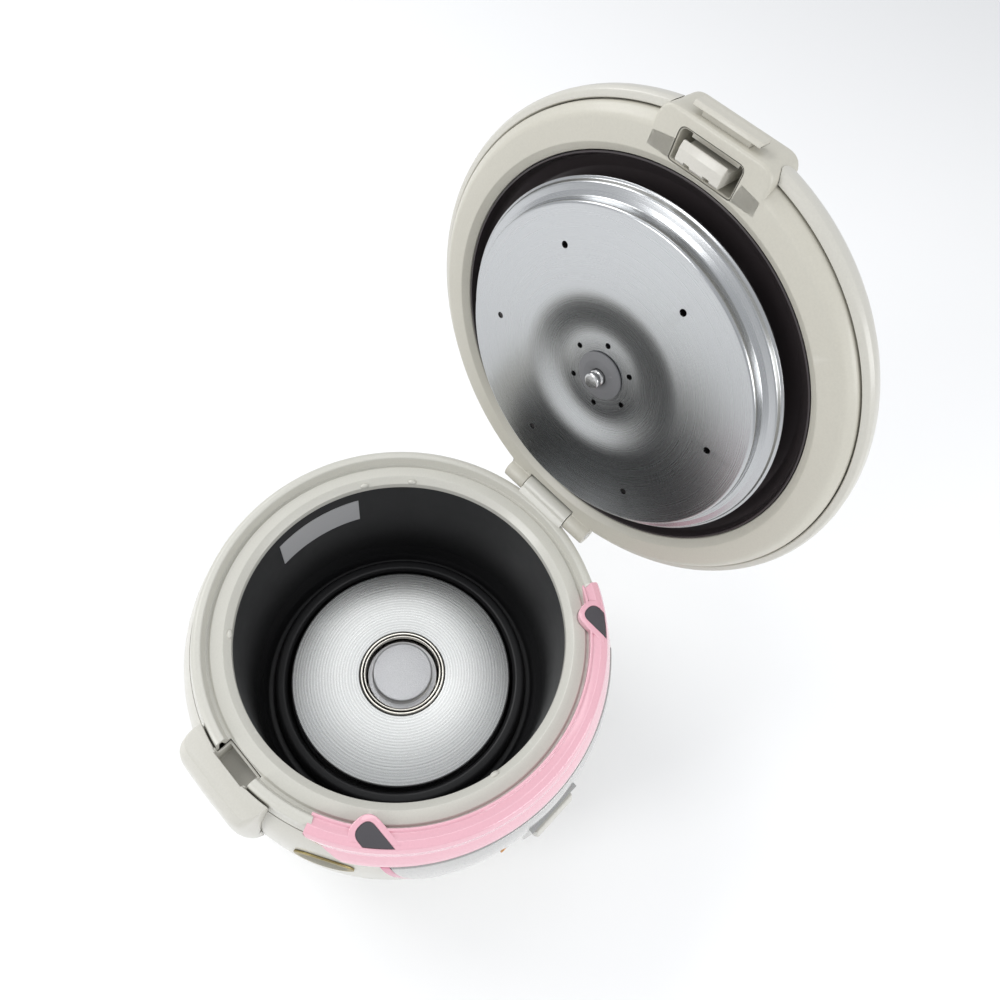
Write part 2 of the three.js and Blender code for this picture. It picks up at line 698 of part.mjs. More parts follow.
function makeThermostat() {
  piece(
    "thermostat_ring",
    turned([
      [ringInner, plateTop + 0.8],
      [ringOuter, plateTop + 0.8],
      [ringOuter, plateUnder - 2],
      [ringInner, plateUnder - 2],
    ]),
    "steel",
  );
  piece(
    "thermostat_housing",
    turned([
      [cupInner, plateTop + 1.2],
      [cupOuter, plateTop + 1.2],
      [cupOuter, housingFloor - 1.5],
      [6, housingFloor - 1.5],
      [6, housingFloor],
      [cupInner, housingFloor],
    ]),
    "steel",
  );
  piece(
    "thermostat_cap",
    turned([
      [0, capTop],
      [CAP_RADIUS - 1.5, capTop],
      [CAP_RADIUS, capTop - 1.5],
      [CAP_RADIUS, flangeHigh],
      [CAP_RADIUS + CAP_FLANGE, flangeHigh],
      [CAP_RADIUS + CAP_FLANGE, flangeHigh - 1.2],
      [CAP_RADIUS - CAP_WALL, flangeHigh - 1.2],
      [CAP_RADIUS - CAP_WALL, capTop - 1.6],
      [0, capTop - 1.6],
    ]),
    "castAluminium",
  );
  const ferriteTop = capTop - 1.6 - GAP;
  piece(
    "thermostat_ferrite",
    rod(CAP_RADIUS - 9, [0, 0, ferriteTop - 2.6], [0, 0, ferriteTop], 24),
    "ferrite",
  );
  const springLow = housingFloor + GAP + 0.8;
  const springHigh = flangeHigh - 1.2 - GAP - 0.8;
  piece(
    "thermostat_spring",
    solid(wire(new Helix(CAP_RADIUS + 2.2, 4, springLow, springHigh), 0.8, 44)),
    "steel",
  );
  const magnet = rod(MAGNET_RADIUS, [0, 0, magnetTop - 10], [0, 0, magnetTop], 24);
  const stem = rod(3, [0, 0, ARM_PIVOT_HEIGHT + 5], [0, 0, magnetTop - 9]);
  piece("thermostat_magnet", magnet.add(stem), "ferrite");
}

// ---- Lever and lifting arm ----

function makeLever() {
  const tabLow = leverHeight - LEVER_TAB / 2 + 1;
  const tabInner = leverReach - 12;
  const tab = new THREE.Shape();
  tab.moveTo(-tabInner, tabLow);
  tab.lineTo(-leverReach + 4, tabLow);
  tab.absarc(-leverReach + 4, tabLow + 4, 4, 1.5 * Math.PI, Math.PI, true);
  tab.lineTo(-leverReach + 3, tabLow + LEVER_TAB - 1);
  tab.lineTo(-leverReach + 4, tabLow + LEVER_TAB);
  tab.lineTo(-tabInner, tabLow + LEVER_TAB);
  const pivot = [leverPivotY, leverHeight];
  let lever = alongX(tab, LEVER_WIDTH / 2);
  lever = lever.add(block([-9, 9], [-tabInner - 1, pivot[0]], [pivot[1] - 3, pivot[1] + 3]));
  lever = lever.add(rod(3.4, [-9, ...pivot], [9, ...pivot]));
  piece("cook_lever", lever.subtract(rod(PIVOT_PIN_RADIUS + GAP, [-20, ...pivot], [20, ...pivot])), "ivory");
  piece("lever_pin", rod(PIVOT_PIN_RADIUS, [-14.5, ...pivot], [14.5, ...pivot]), "steel");

  const back = -linerOuter - GAP - 0.6;
  let bracket = block([-14, 14], [back - 1.2, back], [leverHeight - 12, leverHeight + 12]);
  for (const side of [-1, 1]) {
    const across = [side * 9.6, side * 11.2].sort((a, b) => a - b);
    bracket = bracket.add(block(across, [pivot[0] - 4, back - 0.5], [pivot[1] - 5, pivot[1] + 5]));
  }
  bracket = bracket.subtract(rod(PIVOT_PIN_RADIUS + GAP, [-20, ...pivot], [20, ...pivot]));
  piece("lever_bracket", bracket, "zinc");

  const out = barrelRadius(leverHeight) + FACE_WALL + 1;
  const frame = (margin) => [
    [-slotHalf - margin, slotHalf + margin],
    [slotLow - margin, slotHigh + margin],
  ];
  const [outerX, outerZ] = frame(guideWall);
  const [innerX, innerZ] = frame(0);
  const guide = block(outerX, [-out, -out + 9], outerZ);
  piece("lever_guide", guide.subtract(block(innerX, [-out - 1, -out + 10], innerZ)), "pearl");
}

function makeLiftingArm() {
  const thick = 2;
  const flat = ARM_PIVOT_HEIGHT + 2.4;
  const topOfStrip = leverHeight - 7;
  const bend = floorTop - 10;
  let arm = alongX(
    outlineOf([
      [8, flat],
      [8, flat + thick],
      [stripY + 17, flat + thick],
      [stripY + thick, bend],
      [stripY + thick, topOfStrip],
      [stripY, topOfStrip],
      [stripY, bend - 1],
      [stripY + 16, flat],
    ]),
    ARM_WIDTH / 2,
  );
  const pivot = [ARM_PIVOT_Y, ARM_PIVOT_HEIGHT];
  arm = arm.add(rod(3.4, [-ARM_WIDTH / 2, ...pivot], [ARM_WIDTH / 2, ...pivot]));
  piece("lifting_arm", arm.subtract(rod(PIVOT_PIN_RADIUS + GAP, [-20, ...pivot], [20, ...pivot])), "zinc");
  piece("arm_pin", rod(PIVOT_PIN_RADIUS, [-10.5, ...pivot], [10.5, ...pivot]), "steel");

  const under = floorUnder - GAP;
  let bracket = block([-16, 16], [ARM_PIVOT_Y - 12, ARM_PIVOT_Y + 12], [under - 1.2, under]);
  for (const side of [-1, 1]) {
    const across = [side * 7, side * 8.4].sort((a, b) => a - b);
    bracket = bracket.add(
      block(across, [ARM_PIVOT_Y - 5, ARM_PIVOT_Y + 5], [ARM_PIVOT_HEIGHT - 4, under - 1]),
    );
  }
  bracket = bracket.subtract(rod(PIVOT_PIN_RADIUS + GAP, [-20, ...pivot], [20, ...pivot]));
  piece("arm_bracket", bracket, "zinc");
  const switchBody = block([22, 44], [-74, -62], [under - 16, under]);
  piece("micro_switch", switchBody.add(block([28, 32], [-70, -66], [under - 18, under - 15])), "black");
}

// ---- Mains inlet and wiring ----

function makeWiring() {
  const back = inletOuter - 22;
  const high = INLET_LOW + INLET_HEIGHT;
  const socket = upright(roundedBox(-INLET_HALF, back, INLET_HALF, inletOuter, 1), INLET_LOW, high);
  const mouth = block([-12.5, 12.5], [back + 4, inletOuter + 2], [INLET_LOW + 4, high - 4]);
  const middle = INLET_LOW + INLET_HEIGHT / 2;
  let housing = socket.subtract(mouth);
  for (const [name, x] of [["live", -6], ["neutral", 6]]) {
    housing = housing.subtract(rod(1.9 + GAP, [x, back - 1, middle], [x, back + 5, middle]));
    piece(`inlet_pin_${name}`, rod(1.9, [x, back - 5, middle], [x, inletOuter - 4, middle]), "steel");
  }
  piece("inlet_socket", housing, "black");
  piece(
    "terminal_block",
    block([-14, 14], [82, 94], [BASE_THICKNESS + GAP, BASE_THICKNESS + 14]),
    "ceramic",
  );
  piece("thermal_fuse", rod(3, [38, 18, floorUnder - 4], [38, 44, floorUnder - 4]), "ceramic");
  const blockTop = BASE_THICKNESS + 14 + GAP;
  for (const [name, side, finish] of [["live_wire", -1, "redWire"], ["neutral_wire", 1, "blueWire"]]) {
    const [x, y] = polar(tubeCircle, 90 - side * 9);
    const route = new THREE.CatmullRomCurve3([
      new THREE.Vector3(side * 9, 88, blockTop),
      new THREE.Vector3(side * 9, 88, blockTop + 8),
      new THREE.Vector3(x * 1.1, y + 12, floorUnder - 21),
      new THREE.Vector3(x, y, floorUnder - 15),
      new THREE.Vector3(x, y, floorUnder - 9 - GAP),
    ]);
    piece(name, solid(wire(route, 1.5, 20)), finish);
  }
}

// ---- Latch on the body ----

function makeBodyLatch() {
  const top = lip + 7.6;
  const side = new THREE.Shape();
  side.moveTo(-notchInner + 1, top);
  side.lineTo(-rimRadius - 6.2, top);
  side.quadraticCurveTo(-rimRadius - 14.2, top, -bellyRadius - 4, lip - 8);
  side.quadraticCurveTo(-bellyRadius - 7.5, lip - 26, -bellyRadius - 5.5, lip - 46);
  side.quadraticCurveTo(-bellyRadius - 4, lip - 58, -bellyRadius + 3, lip - LATCH_DROP);
  side.lineTo(-notchInner + 1, lip - LATCH_DROP);
  let housing = alongY(side, -LATCH_HALF, LATCH_HALF);
  const plan = roundedBox(-bellyRadius - 8, -LATCH_HALF, -notchInner + 21, LATCH_HALF, 9);
  housing = housing.intersect(upright(plan, 0, rim));
  housing = housing.subtract(barrelBlank(GAP));

  // The cup that the lid's catch drops into, with a keeper edge over its outer side.
  const { inner, outer, low, wall } = latchCup;
  const half = NOTCH_HALF - GAP;
  const cup = block([-outer, -inner], [-half, half], [low, lip - 1]);
  housing = housing.add(cup).add(block([-outer, -rimRadius], [-half, half], [lip - 2, top]));
  const hollow = block([-outer + wall, -inner - wall], [-half + wall, half - wall], [low + wall, lip + 6.4]);
  const mouth = block([-rimRadius - 1.6, -inner - wall], [-half + wall, half - wall], [lip + 6, top + 1]);
  piece("latch_housing", housing.subtract(hollow).subtract(mouth), "ivory");
}

// ---- Hinge ----

function makeHinge() {
  const half = KNUCKLE_HALF + EAR_WIDTH;
  piece(
    "hinge_pin",
    rod(HINGE_PIN_RADIUS, [hingeX, -half, hingeHeight], [hingeX, half, hingeHeight]),
    "steel",
  );
  const coil = wire(new Helix(4.2, 5, -9, 9), 0.7, 45);
  piece("hinge_spring", solid(coil.rotateX(Math.PI / 2).translate(hingeX, 0, hingeHeight)), "steel");
}

// ---- Lid ----

const face = lip + LID_FACE_RISE;
const housingTop = lip + 33;
const domeRadius = coverRadius;
const domeHeight = (radius) =>
  lip + COVER_EDGE_RISE + DOME_HEIGHT * Math.sqrt(1 - (radius / domeRadius) ** 2);

// Room for the fixed middle knuckle, which the lid turns round.
const knuckleRoom = block(
  [hingeX - 10, 2 * bellyRadius],
  [-KNUCKLE_HALF - 0.5, KNUCKLE_HALF + 0.5],
  [lip - 20, hingeHeight + KNUCKLE_RADIUS + 0.8],
);

const lidHousing = (margin) =>
  upright(
    roundedBox(-latchReach - margin, -LATCH_HALF - margin, -lidInner + 21, LATCH_HALF + margin, 7 + margin),
    face - margin,
    housingTop + margin,
  ).subtract(block([-lidInner + 1.5 + margin, 0], [-100, 100], [lip - 9, housingTop + 9]));

function makeLidFrame() {
  let frame = turned([
    [lidInner, face],
    [lidOuter - 4.8, face],
    [lidOuter - 1.4, face + 2],
    [lidOuter, face + 5.6],
    [lidOuter, face + 9],
    [lidOuter - 2.6, face + 9],
    [lidOuter - 2.6, face + 6],
    [lidOuter - 5.3, face + 2.8],
    [lidInner + 1, face + 2.8],
    [lidInner - 2.4, face + 6],
    [lidInner - 4.4, face + 6],
    [lidInner - 4.4, face + 3.2],
  ]);
  for (const side of [-1, 1]) {
    const across = [side * (KNUCKLE_HALF + 0.4), side * (KNUCKLE_HALF + EAR_WIDTH)].sort((a, b) => a - b);
    frame = frame.add(block([lidInner + 1, hingeX], across, [face, hingeHeight + KNUCKLE_RADIUS]));
    frame = frame.add(
      rod(KNUCKLE_RADIUS, [hingeX, across[0], hingeHeight], [hingeX, across[1], hingeHeight]),
    );
  }
  frame = frame.subtract(knuckleRoom);
  frame = frame.subtract(
    rod(HINGE_PIN_RADIUS + GAP, [hingeX, -60, hingeHeight], [hingeX, 60, hingeHeight]),
  );
  frame = frame.add(lidHousing(0));
  const pocketPlan = roundedBox(-latchReach + 6, -POCKET_HALF, -lidInner - 0.5, POCKET_HALF, 2.5);
  const pocket = upright(pocketPlan, face - 2, housingTop - 2);
  frame = frame.subtract(pocket);
  const buttonHole = block(
    [-latchReach - 5, catchPivotX - 3],
    [-BUTTON_HALF + 5 - GAP, BUTTON_HALF - 5 + GAP],
    [lip + BUTTON_RISE - 2.5 - GAP, lip + BUTTON_RISE + 2.5 + GAP],
  );
  const pivot = [catchPivotX, lip + CATCH_PIVOT_RISE];
  const pinHole = rod(PIVOT_PIN_RADIUS + GAP, [pivot[0], -20.5, pivot[1]], [pivot[0], 20.5, pivot[1]]);
  piece("lid_frame", frame.subtract(buttonHole).subtract(pinHole), "lidBeige", lidPieces);
}

function makeLidCover() {
  const edge = face + 6;
  const radii = steps(domeRadius, 0, 6).map((r) => domeRadius * Math.sin((Math.PI / 2) * (r / domeRadius)));
  const outer = radii.map((r) => [r, domeHeight(r)]);
  const shrink = (domeRadius - COVER_WALL) / domeRadius;
  const inner = outer.map(([r, z]) => [
    r * shrink,
    lip + COVER_EDGE_RISE + (z - lip - COVER_EDGE_RISE) * (1 - COVER_WALL / DOME_HEIGHT),
  ]);
  let cover = turned([
    [lidOuter + GAP, edge + 2],
    [lidOuter + GAP + 1, edge],
    [domeRadius - 1.5, edge + 1.2],
    [domeRadius - 0.2, edge + 3],
    ...outer,
    ...inner.reverse(),
    [domeRadius - COVER_WALL - 0.3, edge + 4],
    [lidOuter + GAP, edge + 3.2],
  ]);
  cover = cover.subtract(lidHousing(GAP)).subtract(knuckleRoom);
  cover = cover.subtract(
    block([-domeRadius - 1, -latchReach + 1], [-LATCH_HALF + 7, LATCH_HALF - 7], [lip, housingTop + GAP]),
  );
  for (const side of [-1, 1]) {
    const across = [side * (KNUCKLE_HALF - 0.1), side * (KNUCKLE_HALF + EAR_WIDTH + GAP)];
    across.sort((a, b) => a - b);
    cover = cover.subtract(
      rod(KNUCKLE_RADIUS + GAP, [hingeX, across[0], hingeHeight], [hingeX, across[1], hingeHeight]),
    );
    const armTop = hingeHeight + KNUCKLE_RADIUS + GAP;
    cover = cover.subtract(block([lidInner + 1 - GAP, hingeX], across, [face, armTop]));
  }
  linerScrewAngles.forEach((angle, i) => {
    const [x, y] = polar(LID_SCREW_CIRCLE, angle);
    const bossLow = lip + LINER_DISH_RISE + 1.5 + GAP;
    cover = cover.add(rod(4.5, [x, y, bossLow], [x, y, domeHeight(LID_SCREW_CIRCLE) - 1]));
    cover = cover.subtract(rod(1.7 + GAP, [x, y, bossLow - 1], [x, y, bossLow + 12]));
    const headTop = lip + LINER_DISH_RISE - GAP;
    const head = rod(3.6, [x, y, headTop - 2], [x, y, headTop]);
    const shank = rod(1.7, [x, y, headTop - 1], [x, y, bossLow + 10]);
    piece(`liner_screw_${i + 1}`, head.add(shank), "zinc", lidPieces);
  });
  const ventHole = rod(VENT_RADIUS + GAP, [VENT_X, 0, lip + 30], [VENT_X, 0, lip + 90], 24);
  piece("lid_top_cover", cover.subtract(ventHole), "ivory", lidPieces);
}

function makeLidLiner() {
  const under = lip + LINER_DISH_RISE;
  const edge = face + 3.6;
  let dish = turned([
    [0, under],
    [lidInner - 15, under],
    [lidInner - 9.5, under - 1.6],
    [lidInner - 6.6, under - 5.4],
    [lidInner - 6, edge],
    [lidInner - 4.8, edge],
    [lidInner - 5.4, under - 4.8],
    [lidInner - 8.7, under - 0.4],
    [lidInner - 14.6, under + 1.5],
    [0, under + 1.5],
  ]);
  const cupRoom = lidHousing(GAP);
  dish = dish.subtract(cupRoom);
  for (const angle of linerScrewAngles) {
    const [x, y] = polar(LID_SCREW_CIRCLE, angle);
    dish = dish.subtract(rod(1.7 + GAP, [x, y, under - 2], [x, y, under + 3]));
  }
  dish = dish.subtract(rod(PIN_RADIUS + GAP, [0, 0, under - 2], [0, 0, under + 3]));
  dish = dish.subtract(rod(VENT_RADIUS - 2, [VENT_X, 0, under - 2], [VENT_X, 0, under + 3], 24));
  piece("lid_liner", dish, "brown", lidPieces);

  const tip = lip + DISC_RISE - 5;
  piece(
    "lid_pin",
    turned(
      [
        [0, tip],
        [PIN_RADIUS - 1.6, tip],
        [PIN_RADIUS, tip + 1.6],
        [PIN_RADIUS, under - GAP - 2],
        [9, under - GAP - 2],
        [9, under - GAP],
        [PIN_RADIUS, under - GAP],
        [PIN_RADIUS, under + 2],
        [8, under + 2],
        [8, under + 6],
        [0, under + 6],
      ],
      24,
    ),
    "steel",
    lidPieces,
  );
  const ductLow = under + 1.5 + GAP;
  const ductHigh = domeHeight(VENT_X) - 1;
  const duct = rod(VENT_RADIUS, [VENT_X, 0, ductLow], [VENT_X, 0, ductHigh], 24);
  const bore = rod(VENT_RADIUS - 2, [VENT_X, 0, ductLow - 1], [VENT_X, 0, ductHigh + 1], 24);
  piece("steam_duct", duct.subtract(bore), "black", lidPieces);

  const capLow = domeHeight(VENT_X - VENT_CAP_RADIUS) + 0.6;
  const stem = VENT_RADIUS - 2 - GAP;
  let cap = rod(VENT_CAP_RADIUS, [VENT_X, 0, capLow], [VENT_X, 0, capLow + 4], 24);
  cap = cap.add(rod(VENT_CAP_RADIUS - 2, [VENT_X, 0, capLow + 3], [VENT_X, 0, capLow + 6], 24));
  cap = cap.add(rod(stem, [VENT_X, 0, ductHigh - 12], [VENT_X, 0, capLow + 1], 24));
  for (const dx of [-5, 0, 5])
    cap = cap.subtract(
      block([VENT_X + dx - 1.2, VENT_X + dx + 1.2], [-5, 5], [ductHigh - 14, capLow + 9]),
    );
  piece("steam_vent_cap", cap, "charcoal", lidPieces);
}

// ---- Catch and release button ----

function makeCatch() {
  const pivot = [catchPivotX, lip + CATCH_PIVOT_RISE];
  const nose = lip + 3;
  const inside = catchPivotX + 3;
  let hook = alongY(
    outlineOf([
      [inside, nose + 1.5],
      [inside - 1.5, nose],
      [catchPivotX - 4, nose],
      [catchPivotX - 7, nose + 1.4],
      [catchPivotX - 7, nose + 2.6],
      [catchPivotX - 3.6, nose + 3.2],
      [catchPivotX - 3.6, pivot[1] - 2],
      [inside, pivot[1] - 2],
    ]),
    -CATCH_HALF,
    CATCH_HALF,
  );
  hook = hook.add(rod(3.4, [pivot[0], -CATCH_HALF, pivot[1]], [pivot[0], CATCH_HALF, pivot[1]]));
  hook = hook.subtract(rod(PIVOT_PIN_RADIUS + GAP, [pivot[0], -20, pivot[1]], [pivot[0], 20, pivot[1]]));
  for (const y of [-5.5, 5.5])
    hook = hook.subtract(block([inside - 2.4, inside + 5], [y - 1.8, y + 1.8], [nose - 1, nose + 4]));
  piece("latch_catch", hook, "ivory", lidPieces);
  const pin = rod(PIVOT_PIN_RADIUS, [pivot[0], -20, pivot[1]], [pivot[0], 20, pivot[1]]);
  piece("catch_pin", pin, "steel", lidPieces);
}

function makeButton() {
  const middle = lip + BUTTON_RISE;
  const half = BUTTON_HEIGHT / 2;
  const front = new THREE.Shape();
  front.moveTo(-latchReach - 2.6, middle - half);
  front.lineTo(-latchReach - 2.6, middle + half);
  front.lineTo(-latchReach - BUTTON_STAND - 1.4, middle + half - 1);
  front.lineTo(-latchReach - BUTTON_STAND - 1.4, middle - half + 1);
  const cap = alongY(front, -BUTTON_HALF, BUTTON_HALF);
  const stem = block(
    [-latchReach - 3, catchPivotX - 5.3],
    [-BUTTON_HALF + 5, BUTTON_HALF - 5],
    [middle - 2.5, middle + 2.5],
  );
  piece("release_button", cap.add(stem), "ivory", lidPieces);
}

// ---- Inner lid, which pulls off the pin ----

function makeInnerLid() {
  const low = lip + DISC_RISE;
  const flat = lip + DISH_RISE;
  const high = lip + DISC_RIM_RISE;
  const hole = GROMMET_RADIUS - 6.7;
  const swell = steps(0, 1, 4).map((t) => [
    DISH_FLAT + (DISH_RADIUS - DISH_FLAT) * t,
    flat + (low - flat) * (0.5 - 0.5 * Math.cos(Math.PI * t)),
  ]);
  const under = [
    [hole, flat],
    ...swell,
    [discRadius - 2, low],
    [discRadius, low + 1.6],
    [discRadius + 0.8, low + 6],
    [discRadius + 3, low + 7.6],
    [discRim - 2, low + 8.4],
    [discRim, high],
  ];
  const upper = under.map(([r, z]) => [r - (r > discRadius ? SHEET : 0), z + SHEET]).reverse();
  let plate = turned([...under, [discRim, high + SHEET], ...upper.slice(1)]);
  for (let i = 0; i < 6; i++) {
    const [x, y] = polar(HOLE_CIRCLE, 141 + 60 * i);
    plate = plate.subtract(rod(2, [x, y, low - 2], [x, y, low + 4], 8));
    const [u, v] = polar(DISH_FLAT - 4, 111 + 60 * i);
    plate = plate.subtract(rod(1.7, [u, v, flat - 2], [u, v, flat + 4], 8));
  }
  piece("inner_lid_plate", plate, "sheetAluminium", lidPieces);
  piece(
    "inner_lid_grommet",
    turned(
      [
        [PIN_RADIUS + GAP, flat - 2.4],
        [GROMMET_RADIUS - 3, flat - 2.4],
        [GROMMET_RADIUS, flat - 1.4],
        [GROMMET_RADIUS, flat - GAP],
        [hole - GAP, flat - GAP],
        [hole - GAP, flat + SHEET + GAP],
        [12, flat + SHEET + GAP],
        [11, flat + SHEET + 2.6],
        [PIN_RADIUS + GAP, flat + SHEET + 2.6],
      ],
      24,
    ),
    "rubber",
    lidPieces,
  );
}

makeShell();
makeBase();
makeTopRing();
makeFrontPanel();
makeSilverFace();
makeBadge();
makeLiner();
makeHeatingPlate();
makeThermostat();
makeLever();
makeLiftingArm();
makeWiring();
makeBodyLatch();
makeHinge();
makeLidFrame();
makeLidCover();
makeLidLiner();
makeCatch();
makeButton();
makeInnerLid();

export default cooker;
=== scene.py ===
# A jar rice cooker with its lid open and its pot lifted out, in metres, +Z up.
# The front, with the lever, faces -Y. The lid is hinged at +X and latches at -X.

import math

import bmesh
import bpy
from mathutils import Matrix, Vector


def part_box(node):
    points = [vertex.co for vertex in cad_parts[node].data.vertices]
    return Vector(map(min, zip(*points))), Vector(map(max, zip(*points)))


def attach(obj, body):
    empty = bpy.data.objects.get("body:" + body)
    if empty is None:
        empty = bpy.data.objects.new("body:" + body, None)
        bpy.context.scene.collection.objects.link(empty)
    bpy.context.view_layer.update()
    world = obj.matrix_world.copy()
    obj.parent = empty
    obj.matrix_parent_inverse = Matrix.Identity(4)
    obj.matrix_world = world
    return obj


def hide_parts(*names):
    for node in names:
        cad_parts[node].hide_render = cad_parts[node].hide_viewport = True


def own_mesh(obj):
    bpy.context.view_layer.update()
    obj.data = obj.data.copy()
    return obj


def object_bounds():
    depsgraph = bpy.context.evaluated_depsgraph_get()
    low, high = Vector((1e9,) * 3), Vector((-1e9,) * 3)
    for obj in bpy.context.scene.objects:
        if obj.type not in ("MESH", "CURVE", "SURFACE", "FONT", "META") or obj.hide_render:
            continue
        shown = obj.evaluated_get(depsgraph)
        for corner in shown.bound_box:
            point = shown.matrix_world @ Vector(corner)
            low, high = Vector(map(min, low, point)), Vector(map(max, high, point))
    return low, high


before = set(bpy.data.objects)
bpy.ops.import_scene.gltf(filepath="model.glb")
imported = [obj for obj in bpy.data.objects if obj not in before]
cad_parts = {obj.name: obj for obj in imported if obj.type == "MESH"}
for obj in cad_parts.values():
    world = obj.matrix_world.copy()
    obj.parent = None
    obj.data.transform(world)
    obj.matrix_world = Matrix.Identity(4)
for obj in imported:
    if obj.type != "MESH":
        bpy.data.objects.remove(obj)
cad_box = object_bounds()

# ---- Studio ----
# A pale floor under four softboxes: one behind, one high up over the well, one at the side
# and a low wide one in front, which the glossy front panel mirrors.

scene = bpy.context.scene
scene.view_settings.view_transform = "Standard"

world = bpy.data.worlds.new("studio")
world.use_nodes = True
world.node_tree.nodes["Background"].inputs["Color"].default_value = (0.95, 0.97, 1.0, 1)
world.node_tree.nodes["Background"].inputs["Strength"].default_value = 0.68
scene.world = world


def softbox(name, place, aim, width, height, power):
    lamp = bpy.data.lights.new(name, "AREA")
    lamp.shape = "RECTANGLE"
    lamp.size = width
    lamp.size_y = height
    lamp.energy = power
    holder = bpy.data.objects.new(name, lamp)
    holder.location = place
    holder.rotation_euler = (Vector(aim) - Vector(place)).to_track_quat("-Z", "Y").to_euler()
    scene.collection.objects.link(holder)


softbox("rear_softbox", (-0.15, 1.5, 1.5), (0, 0, 0.15), 1.3, 0.8, 14)
softbox("ceiling_softbox", (0.3, 0.38, 1.5), (0, 0, 0.1), 0.4, 0.4, 0.9)
softbox("window_softbox", (-1.35, 0.5, 0.95), (0, 0, 0.15), 0.45, 1.0, 8)
softbox("front_softbox", (0.35, -1.5, 0.95), (0, 0, 0.15), 1.4, 0.6, 12)

camera = bpy.data.objects.new("camera", bpy.data.cameras.new("camera"))
camera.data.lens = 26.91
camera.data.shift_y = -0.0022
camera.location = (-0.1132, -0.12462, 0.65039)
camera.rotation_euler = (math.radians(29.5426), math.radians(-6.9013), math.radians(-44.4295))
scene.collection.objects.link(camera)
scene.camera = camera

floor_drop = cad_box[0][2]
floor_mesh = bpy.data.meshes.new("floor")
floor_mesh.from_pydata(
    [(x, y, floor_drop) for x, y in ((-6, -6), (6, -6), (6, 6), (-6, 6))], [], [(0, 1, 2, 3)]
)
floor = bpy.data.objects.new("floor", floor_mesh)
scene.collection.objects.link(floor)
floor_paint = bpy.data.materials.new("floor_paint")
floor_paint.use_nodes = True
floor_paint.node_tree.nodes["Principled BSDF"].inputs["Base Color"].default_value = (0.94, 0.94, 0.94, 1)
floor_paint.node_tree.nodes["Principled BSDF"].inputs["Roughness"].default_value = 0.9
floor_mesh.materials.append(floor_paint)

# ---- Outer shell ----
# One deep injection moulding in glossy ivory plastic, open at the top and the foot.
# Its wall follows one rule: it swells to the belly and rounds over at the shoulder.

MM = 0.001
LIP = 180
BELLY_RADIUS = 144
BELLY_HEIGHT = 92
BASE_RADIUS = 116
SHOULDER_RADIUS = 133.5
SHELL_FOOT = 4
SHOULDER = LIP - 3
SHELL_WALL = 2.5


def barrel_radius(height):
    if height < BELLY_HEIGHT:
        fall = max(0, BELLY_HEIGHT - height) / (BELLY_HEIGHT - SHELL_FOOT)
        return BELLY_RADIUS - (BELLY_RADIUS - BASE_RADIUS) * fall**2.4
    rise = (height - BELLY_HEIGHT) / (SHOULDER - BELLY_HEIGHT)
    return BELLY_RADIUS - (BELLY_RADIUS - SHOULDER_RADIUS) * rise**5


def named_object(name, mesh):
    made = bpy.data.objects.new(name, mesh)
    scene.collection.objects.link(made)
    return made


def baked(source, name=None):
    """The evaluated object as one plain mesh object, its modifiers gone."""
    depsgraph = bpy.context.evaluated_depsgraph_get()
    mesh = bpy.data.meshes.new_from_object(source.evaluated_get(depsgraph))
    made = name or source.name
    source.modifiers.clear()
    bpy.data.objects.remove(source)
    mesh.name = made
    return named_object(made, mesh)


def smoothed(piece, crease=32):
    """Smooth faces, with the edges sharper than the crease angle kept crisp."""
    work = bmesh.new()
    work.from_mesh(piece.data)
    for face in work.faces:
        face.smooth = True
    for edge in work.edges:
        edge.smooth = edge.is_manifold and edge.calc_face_angle(0) < math.radians(crease)
    work.to_mesh(piece.data)
    work.free()
    return piece


def mesh_from(name, work):
    bmesh.ops.remove_doubles(work, verts=work.verts, dist=1e-7)
    bmesh.ops.recalc_face_normals(work, faces=work.faces)
    mesh = bpy.data.meshes.new(name)
    work.to_mesh(mesh)
    work.free()
    return named_object(name, mesh)


def rounded_outline(points, arc=4):
    """Corner points (x, y, radius) as a closed line with each corner rounded."""
    line = []
    count = len(points)
    for i, corner in enumerate(points):
        here = Vector(corner[:2])
        radius = corner[2] if len(corner) > 2 else 0
        before = Vector(points[i - 1][:2]) - here
        after = Vector(points[(i + 1) % count][:2]) - here
        half = before.angle(after, math.pi) / 2
        if radius <= 0 or abs(half - math.pi / 2) < 0.03:
            line.append(tuple(here))
            continue
        back = min(radius / math.tan(half), before.length * 0.49, after.length * 0.49)
        start = here + before.normalized() * back
        end = here + after.normalized() * back
        for k in range(arc + 1):
            t = k / arc
            line.append(tuple(start * (1 - t) ** 2 + here * 2 * t * (1 - t) + end * t**2))
    return line


def turned(name, points, sides=192, start=0, end=360, arc=4):
    """A closed outline of (radius, height, corner) in millimetres, turned round the upright axis."""
    line = rounded_outline(points, arc)
    work = bmesh.new()
    full = end - start >= 360
    count = sides if full else max(4, round(sides * (end - start) / 360))
    rings = []
    for i in range(count if full else count + 1):
        angle = math.radians(start + (end - start) * i / count)
        direction = (math.cos(angle), math.sin(angle))
        rings.append(
            [work.verts.new((r * direction[0] * MM, r * direction[1] * MM, z * MM)) for r, z in line]
        )
    for i in range(count):
        here, there = rings[i], rings[(i + 1) % len(rings)]
        for k in range(len(line)):
            n = (k + 1) % len(line)
            if line[k][0] < 1e-6 and line[n][0] < 1e-6:
                continue
            work.faces.new((here[k], there[k], there[n], here[n]))
    if not full:
        work.faces.new(rings[0])
        work.faces.new(list(reversed(rings[-1])))
    return mesh_from(name, work)


